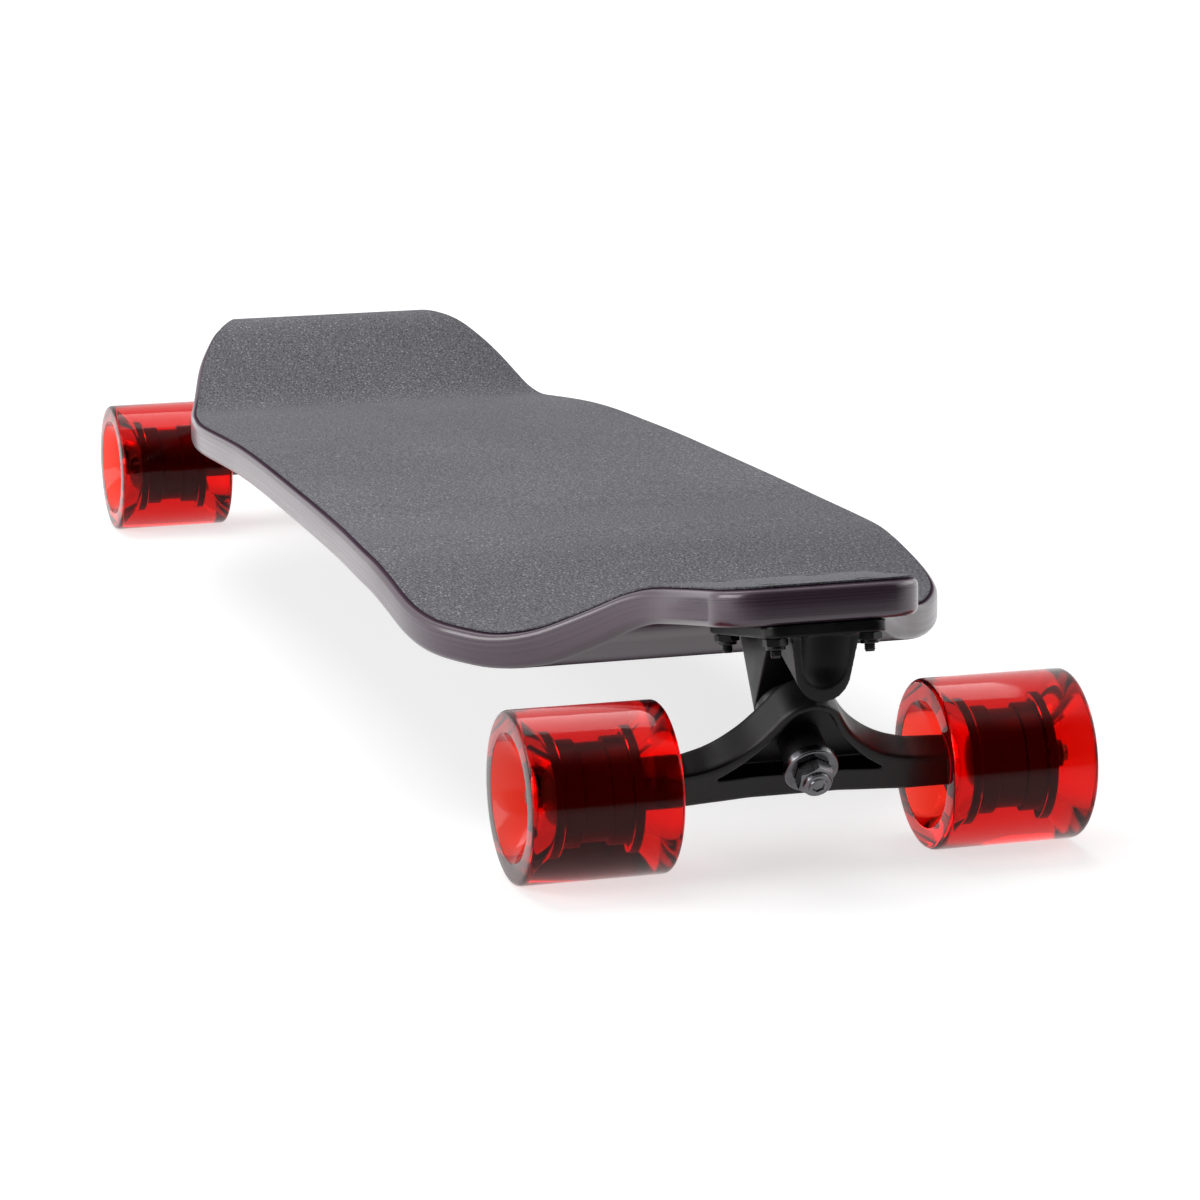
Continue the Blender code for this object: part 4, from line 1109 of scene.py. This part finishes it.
    def build_baseplate(self) -> None:
        """Make the baseplate casting and the pivot cup in it."""
        cup_radius = self.stub_radius + GAP + self.cup_wall
        housing_radius = cup_radius + GAP + self.housing_wall
        depth = self.cup_depth
        housing = [(0, -depth - self.housing_wall), (housing_radius, -depth - self.housing_wall),
                   (housing_radius, depth), (0, depth)]
        socket = [(0, -depth - GAP), (cup_radius + GAP, -depth - GAP), (cup_radius + GAP, 2 * depth),
                  (0, 2 * depth)]
        bore = self.kingpin_radius + GAP
        root = self.kingpin_root - GAP
        pin = [(0, root), (bore, root), (bore, self.seat_depth + GAP), (0, self.seat_depth + GAP)]
        casting = self.bench.combine(self.flange(), [
            (Joining.ADD, self.tower()), (Joining.ADD, spun(housing, 64, False, self.steer_frame)),
            (Joining.ADD, self.boss()), (Joining.ADD, self.nose()), (Joining.CUT, self.scoop()),
            (Joining.CUT, spun(pin, 48, False, self.kingpin_frame)),
            (Joining.CUT, spun(socket, 48, False, self.steer_frame)),
        ], CastSkin())
        self.dresser.dress(self.stood(casting), f"{self.prefix}_baseplate", "deck", Finish.CASTING)
        inner = self.stub_radius + GAP
        cup = rounded([(0, self.cup_wall - depth, 0.0), (inner, self.cup_wall - depth, 0.4 * MM),
                       (inner, depth, 0.3 * MM), (cup_radius, depth, 0.3 * MM),
                       (cup_radius, -depth, 0.4 * MM), (0, -depth, 0.0)], False)
        self.dresser.dress(self.stood(spun(cup, 48, False), self.steer_frame), f"{self.prefix}_pivot_cup",
                           "deck", Finish.CUP)

    def washer(self, held: float, level: float, way: int) -> bmesh.types.BMesh:
        """Return a cupped washer whose lip points along way and holds a bushing end."""
        bore = self.kingpin_radius + GAP
        rim = held + GAP + self.washer_rim
        lip = held + 2 * GAP
        floor = level + way * self.washer_thickness
        edge = floor + way * self.washer_lip
        corners = [(bore, level, 0.2 * MM), (rim, level, 1.1 * MM), (rim, edge, 0.35 * MM),
                   (lip, edge, 0.35 * MM), (lip, floor, 0.4 * MM), (bore, floor, 0.2 * MM)]
        return spun(rounded(corners, True), 64, True)

    def build_stack(self) -> None:
        """Make the kingpin, its nut, both washers and both bushings."""
        tip = self.kingpin_tip
        radius = self.kingpin_radius
        thread = threaded(radius, self.nut_start + self.nut_height - 1.0 * MM, tip - 0.8 * MM, 1.0 * MM)
        pin = [(0, self.kingpin_root), (radius, self.kingpin_root), (radius, self.nut_start), *thread,
               (radius - 0.7 * MM, tip), (0, tip)]
        socket_radius = 2.9 * MM
        socket = prism(six_sided(socket_radius, tip - 6 * MM), Vector((0, 0, 8 * MM)))
        kingpin = self.bench.combine(spun(pin, 48, False), [(Joining.CUT, socket)])
        bore = radius + GAP
        nut = self.nuts.locknut(self.nut_flats, self.nut_height, 2.2 * MM)
        bmesh.ops.translate(nut, verts=nut.verts, vec=(0, 0, self.nut_start))
        board_washer = self.seat_depth + GAP
        board_start = board_washer + self.washer_thickness + GAP
        board_end = self.ring[0] - GAP
        road_start = self.ring[1] + GAP
        road_end = self.roadside_washer - GAP
        wide = self.bushing_radius
        middle = (board_start + board_end) / 2
        barrel = rounded([(wide, board_end, 0.8 * MM), (wide - 0.35 * MM, middle, 0.0),
                          (wide, board_start, 0.8 * MM), (bore, board_start, 0.0),
                          (bore, board_end, 0.0)], True)
        cone = rounded([(self.roadside_tip_radius, road_end, 0.6 * MM),
                        (self.roadside_base_radius, road_start, 0.6 * MM),
                        (bore, road_start, 0.0), (bore, road_end, 0.0)], True)
        road_level = self.roadside_washer + self.washer_thickness
        pieces = {
            "kingpin": (kingpin, Finish.STEEL), "kingpin_nut": (nut, Finish.STEEL),
            "boardside_washer": (self.washer(wide, board_washer, 1), Finish.BLACKENED),
            "roadside_washer": (self.washer(self.roadside_tip_radius, road_level, -1), Finish.STEEL),
            "boardside_bushing": (spun(barrel, 64, True), Finish.BUSHING),
            "roadside_bushing": (spun(cone, 64, True), Finish.BUSHING),
        }
        bends = {
            "boardside_bushing": self.bend_along_pin(board_start, board_end),
            "roadside_bushing": self.bend_along_pin(road_end, road_start),
        }
        for name, (shape, finish) in pieces.items():
            self.dresser.dress(self.stood(shape, self.kingpin_frame), f"{self.prefix}_{name}", "deck", finish,
                               bend=bends.get(name))

    def bend_along_pin(self, washer: float, ring: float) -> Bend:
        """Return a bushing's ends on the kingpin, from its washer's level to the hanger ring's level, with
        the hanger's body.
        """
        frame = self.frame @ self.kingpin_frame
        return Bend(f"{self.prefix}_truck", frame @ Vector((0, 0, washer)), frame @ Vector((0, 0, ring)))

    def ring_plane(self, across: float, up: float, depth: float) -> Vector:
        """Return a truck-frame point from its place across and up the ring's plane and along the pin."""
        return self.up * up + self.down * depth + Vector((0, across, 0))

    def hanger_body(self) -> bmesh.types.BMesh:
        """Return the hanger's arch and axle beam as one bevelled slab that thins towards its ends."""
        half = [(across * MM, up * MM) for across, up in smooth_through(self.hanger_outline_mm, 6)]
        half.append((self.hanger_reach, self.hanger_end_height))
        first, last = self.hanger_thinning
        shape = bmesh.new()
        columns = []
        for across, up in mirrored(half):
            share = min(max((abs(across) - first) / (last - first), 0.0), 1.0)
            back = self.hanger_depth[0] - (self.hanger_end_half_depth + self.hanger_depth[0]) * share
            front = self.hanger_depth[1] + (self.hanger_end_half_depth - self.hanger_depth[1]) * share
            corners = ((up, front), (self.hanger_bottom, front), (self.hanger_bottom, back), (up, back))
            columns.append([shape.verts.new(self.ring_plane(across, level, depth))
                            for level, depth in corners])
        for column, following in zip(columns, columns[1:]):
            for corner, vert in enumerate(column):
                shape.faces.new((vert, column[corner - 1], following[corner - 1], following[corner]))
        shape.faces.new(columns[0])
        shape.faces.new(columns[-1])
        tidied(shape)
        rims = [edge for edge in shape.edges if edge.calc_face_angle() > math.radians(60.0)]
        bmesh.ops.bevel(shape, geom=rims, offset=self.hanger_bevel, segments=3, profile=0.5, affect="EDGES",
                        material=-1, clamp_overlap=True)
        return tidied(shape)

    def build_hanger(self) -> None:
        """Make the hanger casting with its stub, front pocket and stepped bushing seat."""
        end = -self.cup_depth + self.cup_wall + GAP
        stub = rounded([(0, self.stub_length, 0.0), (self.stub_radius, self.stub_length, 0.0),
                        (self.stub_radius, end, 2.0 * MM), (0, end, 0.0)], False, 6)
        half = [(across * MM, up * MM) for across, up in smooth_through(self.hanger_pocket_mm, 6)]
        reach = half[-1][0]
        outline = mirrored(half) + [(reach, self.hanger_pocket_floor), (-reach, self.hanger_pocket_floor)]
        web_back, web_front = self.ring
        pocket = prism([self.ring_plane(across, up, web_front) for across, up in outline],
                       self.down * (self.hanger_depth[1] - web_front + self.overrun))
        seat = self.bushing_radius + self.seat_clearance
        front = web_front + self.overrun
        bore = [(0, front), (self.ring_bore, front), (self.ring_bore, web_back), (seat, web_back),
                (seat, self.seat_depth), (0, self.seat_depth)]
        casting = self.bench.combine(self.hanger_body(), [
            (Joining.ADD, spun(stub, 48, False, self.steer_frame)),
            (Joining.CUT, pocket),
            (Joining.CUT, spun(bore, 64, False, self.kingpin_frame)),
        ], CastSkin())
        self.dresser.dress(self.stood(casting), f"{self.prefix}_hanger", self.body, Finish.CASTING)

    def build_axle(self) -> None:
        """Make the axle that runs through the hanger and both wheels, threaded at its ends."""
        wheel = self.wheel
        start = self.track / 2 + wheel.core_width / 2 - wheel.bearing_recess + wheel.speed_ring
        end = start + GAP + wheel.nut_height + 1.6 * MM
        radius = wheel.axle_radius
        half = [(radius, start), *threaded(radius, start + 4 * MM, end - 0.6 * MM, 0.9 * MM),
                (radius - 0.6 * MM, end)]
        profile = [(0, -end), *[(r, -h) for r, h in reversed(half)], *half, (0, end)]
        shape = spun(profile, 40, False)
        self.dresser.dress(self.stood(shape, Matrix.Rotation(math.pi / 2, 4, "X")), f"{self.prefix}_axle",
                           self.body, Finish.STEEL)

    def build_bolts(self) -> None:
        """Make the countersunk deck bolts and their nuts."""
        top = self.deck.grip_top - self.bolt_sink
        rim = top - 0.6 * MM
        tip = self.plate_bottom - GAP - self.bolt_nut_height - self.bolt_protrusion
        radius = self.bolt_radius
        thread = threaded(radius, self.plate_bottom, tip + 0.5 * MM, 0.8 * MM)
        profile = [(0, top), (self.bolt_head_radius - 0.2 * MM, top), (self.bolt_head_radius, top - 0.2 * MM),
                   (self.bolt_head_radius, rim), (radius, rim - 2.6 * MM), (radius, self.plate_bottom),
                   *thread, (radius - 0.5 * MM, tip), (0, tip)]
        key = 1.75 * MM
        socket = prism(six_sided(key, top - 2.0 * MM), Vector((0, 0, 4 * MM)))
        bolt = self.bench.combine(spun(profile, 40, False), [(Joining.CUT, socket)])
        nut = self.nuts.locknut(self.bolt_nut_flats, self.bolt_nut_height, 1.5 * MM)
        under = Matrix.Translation((0, 0, self.plate_bottom - GAP)) @ Matrix.Rotation(math.pi, 4, "X")
        for name, frame in self.bolt_frames().items():
            self.dresser.dress(copied(bolt, frame), f"{self.prefix}_bolt_{name}", "deck", Finish.BLACKENED)
            self.dresser.dress(copied(nut, frame @ under), f"{self.prefix}_bolt_nut_{name}", "deck",
                               Finish.BLACKENED)
        bolt.free()
        nut.free()

    def build(self) -> None:
        """Make the whole truck with its wheels."""
        self.build_baseplate()
        self.build_stack()
        self.build_hanger()
        self.build_axle()
        self.build_bolts()
        for side in Side:
            centre = Vector((self.end.value * self.deck.axle_x, side.value * self.track / 2,
                             self.wheel.radius))
            self.wheel.build(self.end, side, centre)


@dataclass(frozen=True)
class Softbox:
    """One flat studio lamp."""

    name: str
    place: tuple[float, float, float]
    aim: tuple[float, float, float]
    size: tuple[float, float]
    power: float

    def hang(self) -> None:
        """Add the lamp to the scene."""
        lamp = bpy.data.lights.new(self.name, "AREA")
        lamp.shape = "RECTANGLE"
        lamp.size, lamp.size_y = self.size
        lamp.energy = self.power
        item = bpy.data.objects.new(self.name, lamp)
        bpy.context.scene.collection.objects.link(item)
        item.location = self.place
        item.rotation_euler = (Vector(self.aim) - Vector(self.place)).to_track_quat("-Z", "Y").to_euler()


@dataclass
class Studio:
    """Camera, pale floor, dark cloths and soft light."""

    eye: Vector = field(default_factory=lambda: Vector((2.18378, -0.61827, 0.48933)))
    yaw: float = 0.2957
    pitch: float = 0.1998
    roll: float = -0.0095
    lens: float = 134.616
    floor_half: float = 30.0
    floor_drop: float = 0.2 * MM
    glow_reach: tuple[float, float] = (1.0, 3.0)
    glow: tuple[float, float] = (0.66, 1.0)
    cloth_back: float = 3.2
    cloth_front: float = 0.5
    cloth_lift: float = 1.0 * MM
    cloth_size: tuple[float, float] = (4.0, 9.0)
    cloth_fade: tuple[float, float] = (0.6, 6.5)
    ambient: float = 0.38
    softboxes: tuple[Softbox, ...] = (
        Softbox("overhead", (-0.9, 0.0, 2.4), (0.0, 0.0, 0.1), (2.4, 1.8), 40.0),
        Softbox("left_side", (0.3, -2.2, 0.9), (0.0, 0.0, 0.1), (2.4, 1.2), 44.0),
        Softbox("right_side", (0.0, 2.4, 1.0), (0.0, 0.0, 0.1), (2.2, 1.2), 15.0),
    )

    def set_camera(self) -> None:
        """Stand the camera where the photograph was taken from."""
        ahead = Vector((-math.cos(self.yaw) * math.cos(self.pitch), math.sin(self.yaw) * math.cos(self.pitch),
                        -math.sin(self.pitch)))
        right = ahead.cross(Vector((0, 0, 1))).normalized()
        up = right.cross(ahead)
        level = right * math.cos(self.roll) + up * math.sin(self.roll)
        upright = up * math.cos(self.roll) - right * math.sin(self.roll)
        data = bpy.data.cameras.new("photo_camera")
        data.lens = self.lens
        data.sensor_width = 36.0
        data.clip_end = 200.0
        camera = bpy.data.objects.new("photo_camera", data)
        bpy.context.scene.collection.objects.link(camera)
        turn = Matrix((level, upright, -ahead)).transposed().to_4x4()
        camera.matrix_world = Matrix.Translation(self.eye) @ turn
        bpy.context.scene.camera = camera

    @staticmethod
    def seen_directly(graph: Graph) -> bpy.types.NodeSocket:
        """Return 1 for rays from the camera and through or off clear and shiny pieces, and 0 for others."""
        path = graph.node("ShaderNodeLightPath").outputs
        first = graph.maths("MAXIMUM", path["Is Camera Ray"], path["Is Transmission Ray"])
        return graph.maths("MAXIMUM", first, path["Is Glossy Ray"])

    def lay_floor(self) -> None:
        """Lay the pale floor, which keeps the board's shadow."""
        shape = bmesh.new()
        bmesh.ops.create_grid(shape, x_segments=1, y_segments=1, size=self.floor_half)
        bmesh.ops.translate(shape, verts=shape.verts, vec=(0, 0, -self.floor_drop))
        mesh = bpy.data.meshes.new("floor")
        shape.to_mesh(mesh)
        shape.free()
        graph = Graph("pale_floor")
        away = graph.node("ShaderNodeVectorMath", {0: graph.place()}, operation="LENGTH").outputs["Value"]
        glow = graph.spread(away, self.glow_reach, self.glow)
        graph.surface({
            "Base Color": (0.5, 0.5, 0.5, 1.0), "Roughness": 0.9, "Specular IOR Level": 0.0,
            "Emission Color": (1.0, 1.0, 1.0, 1.0),
            "Emission Strength": graph.maths("MULTIPLY", self.seen_directly(graph), glow),
        })
        mesh.materials.append(graph.material)
        floor = bpy.data.objects.new("floor", mesh)
        bpy.context.scene.collection.objects.link(floor)

    def hang_cloths(self) -> None:
        """Hang a dark cloth behind the camera and lay another out of its sight, to keep the front dark."""
        graph = Graph("black_cloth")
        across, high = self.cloth_size
        far, near, lift = self.cloth_back, self.cloth_front, self.cloth_lift
        place = graph.node("ShaderNodeSeparateXYZ", {0: graph.place()}).outputs
        begun = graph.spread(place[0], (near, near + self.cloth_fade[0]), (0.0, 1.0))
        ended = graph.spread(place[2], (high - self.cloth_fade[1], high), (1.0, 0.0))
        graph.surface({
            "Base Color": (0.02, 0.02, 0.02, 1.0), "Roughness": 1.0, "Specular IOR Level": 0.0,
            "Alpha": graph.maths("MULTIPLY", begun, ended),
        })
        cloths = {
            "hung_cloth": ((far, lift), (far, high)),
            "laid_cloth": ((near, lift), (far, lift)),
        }
        for name, ends in cloths.items():
            shape = bmesh.new()
            (first_x, first_z), (last_x, last_z) = ends
            corners = ((first_x, -across, first_z), (first_x, across, first_z),
                       (last_x, across, last_z), (last_x, -across, last_z))
            shape.faces.new([shape.verts.new(corner) for corner in corners])
            mesh = bpy.data.meshes.new(name)
            shape.to_mesh(mesh)
            shape.free()
            mesh.materials.append(graph.material)
            cloth = bpy.data.objects.new(name, mesh)
            cloth.visible_camera = False
            cloth.visible_transmission = False
            cloth.visible_diffuse = name == "hung_cloth"
            cloth.visible_shadow = name == "hung_cloth"
            bpy.context.scene.collection.objects.link(cloth)

    def light(self) -> None:
        """Set the white surround and hang the softboxes."""
        world = bpy.data.worlds.new("white_surround")
        bpy.context.scene.world = world
        world.use_nodes = True
        tree = world.node_tree
        path = tree.nodes.new("ShaderNodeLightPath").outputs
        share: bpy.types.NodeSocket = path["Is Camera Ray"]
        for name in ("Is Transmission Ray", "Is Glossy Ray"):
            step = tree.nodes.new("ShaderNodeMath")
            step.operation = "MAXIMUM"
            tree.links.new(share, step.inputs[0])
            tree.links.new(path[name], step.inputs[1])
            share = step.outputs[0]
        level = tree.nodes.new("ShaderNodeMapRange")
        level.inputs["To Min"].default_value = self.ambient
        level.inputs["To Max"].default_value = 1.0
        tree.links.new(share, level.inputs["Value"])
        background = tree.nodes["Background"]
        background.inputs["Color"].default_value = (1.0, 1.0, 1.0, 1.0)
        tree.links.new(level.outputs["Result"], background.inputs["Strength"])
        for softbox in self.softboxes:
            softbox.hang()

    def build(self) -> None:
        """Set up the whole studio."""
        bpy.context.scene.view_settings.view_transform = "Standard"
        self.set_camera()
        self.lay_floor()
        self.hang_cloths()
        self.light()


def main() -> None:
    """Build the board and its studio, in order."""
    logging.basicConfig(level=logging.INFO, format="%(name)s %(message)s")
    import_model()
    dresser = Dresser(finishes())
    bench = Bench()
    nuts = Nuts(bench)
    wheel = Wheel(dresser, nuts)
    deck = Deck(dresser, bench)
    trucks = [Truck(dresser, bench, nuts, deck, wheel, end) for end in End]
    frames = [frame for truck in trucks for frame in truck.bolt_frames().values()]
    deck.build(frames, trucks[0].bolt_head_radius + GAP)
    for truck in trucks:
        truck.build()
    Studio().build()


if __name__ == "__main__":
    main()
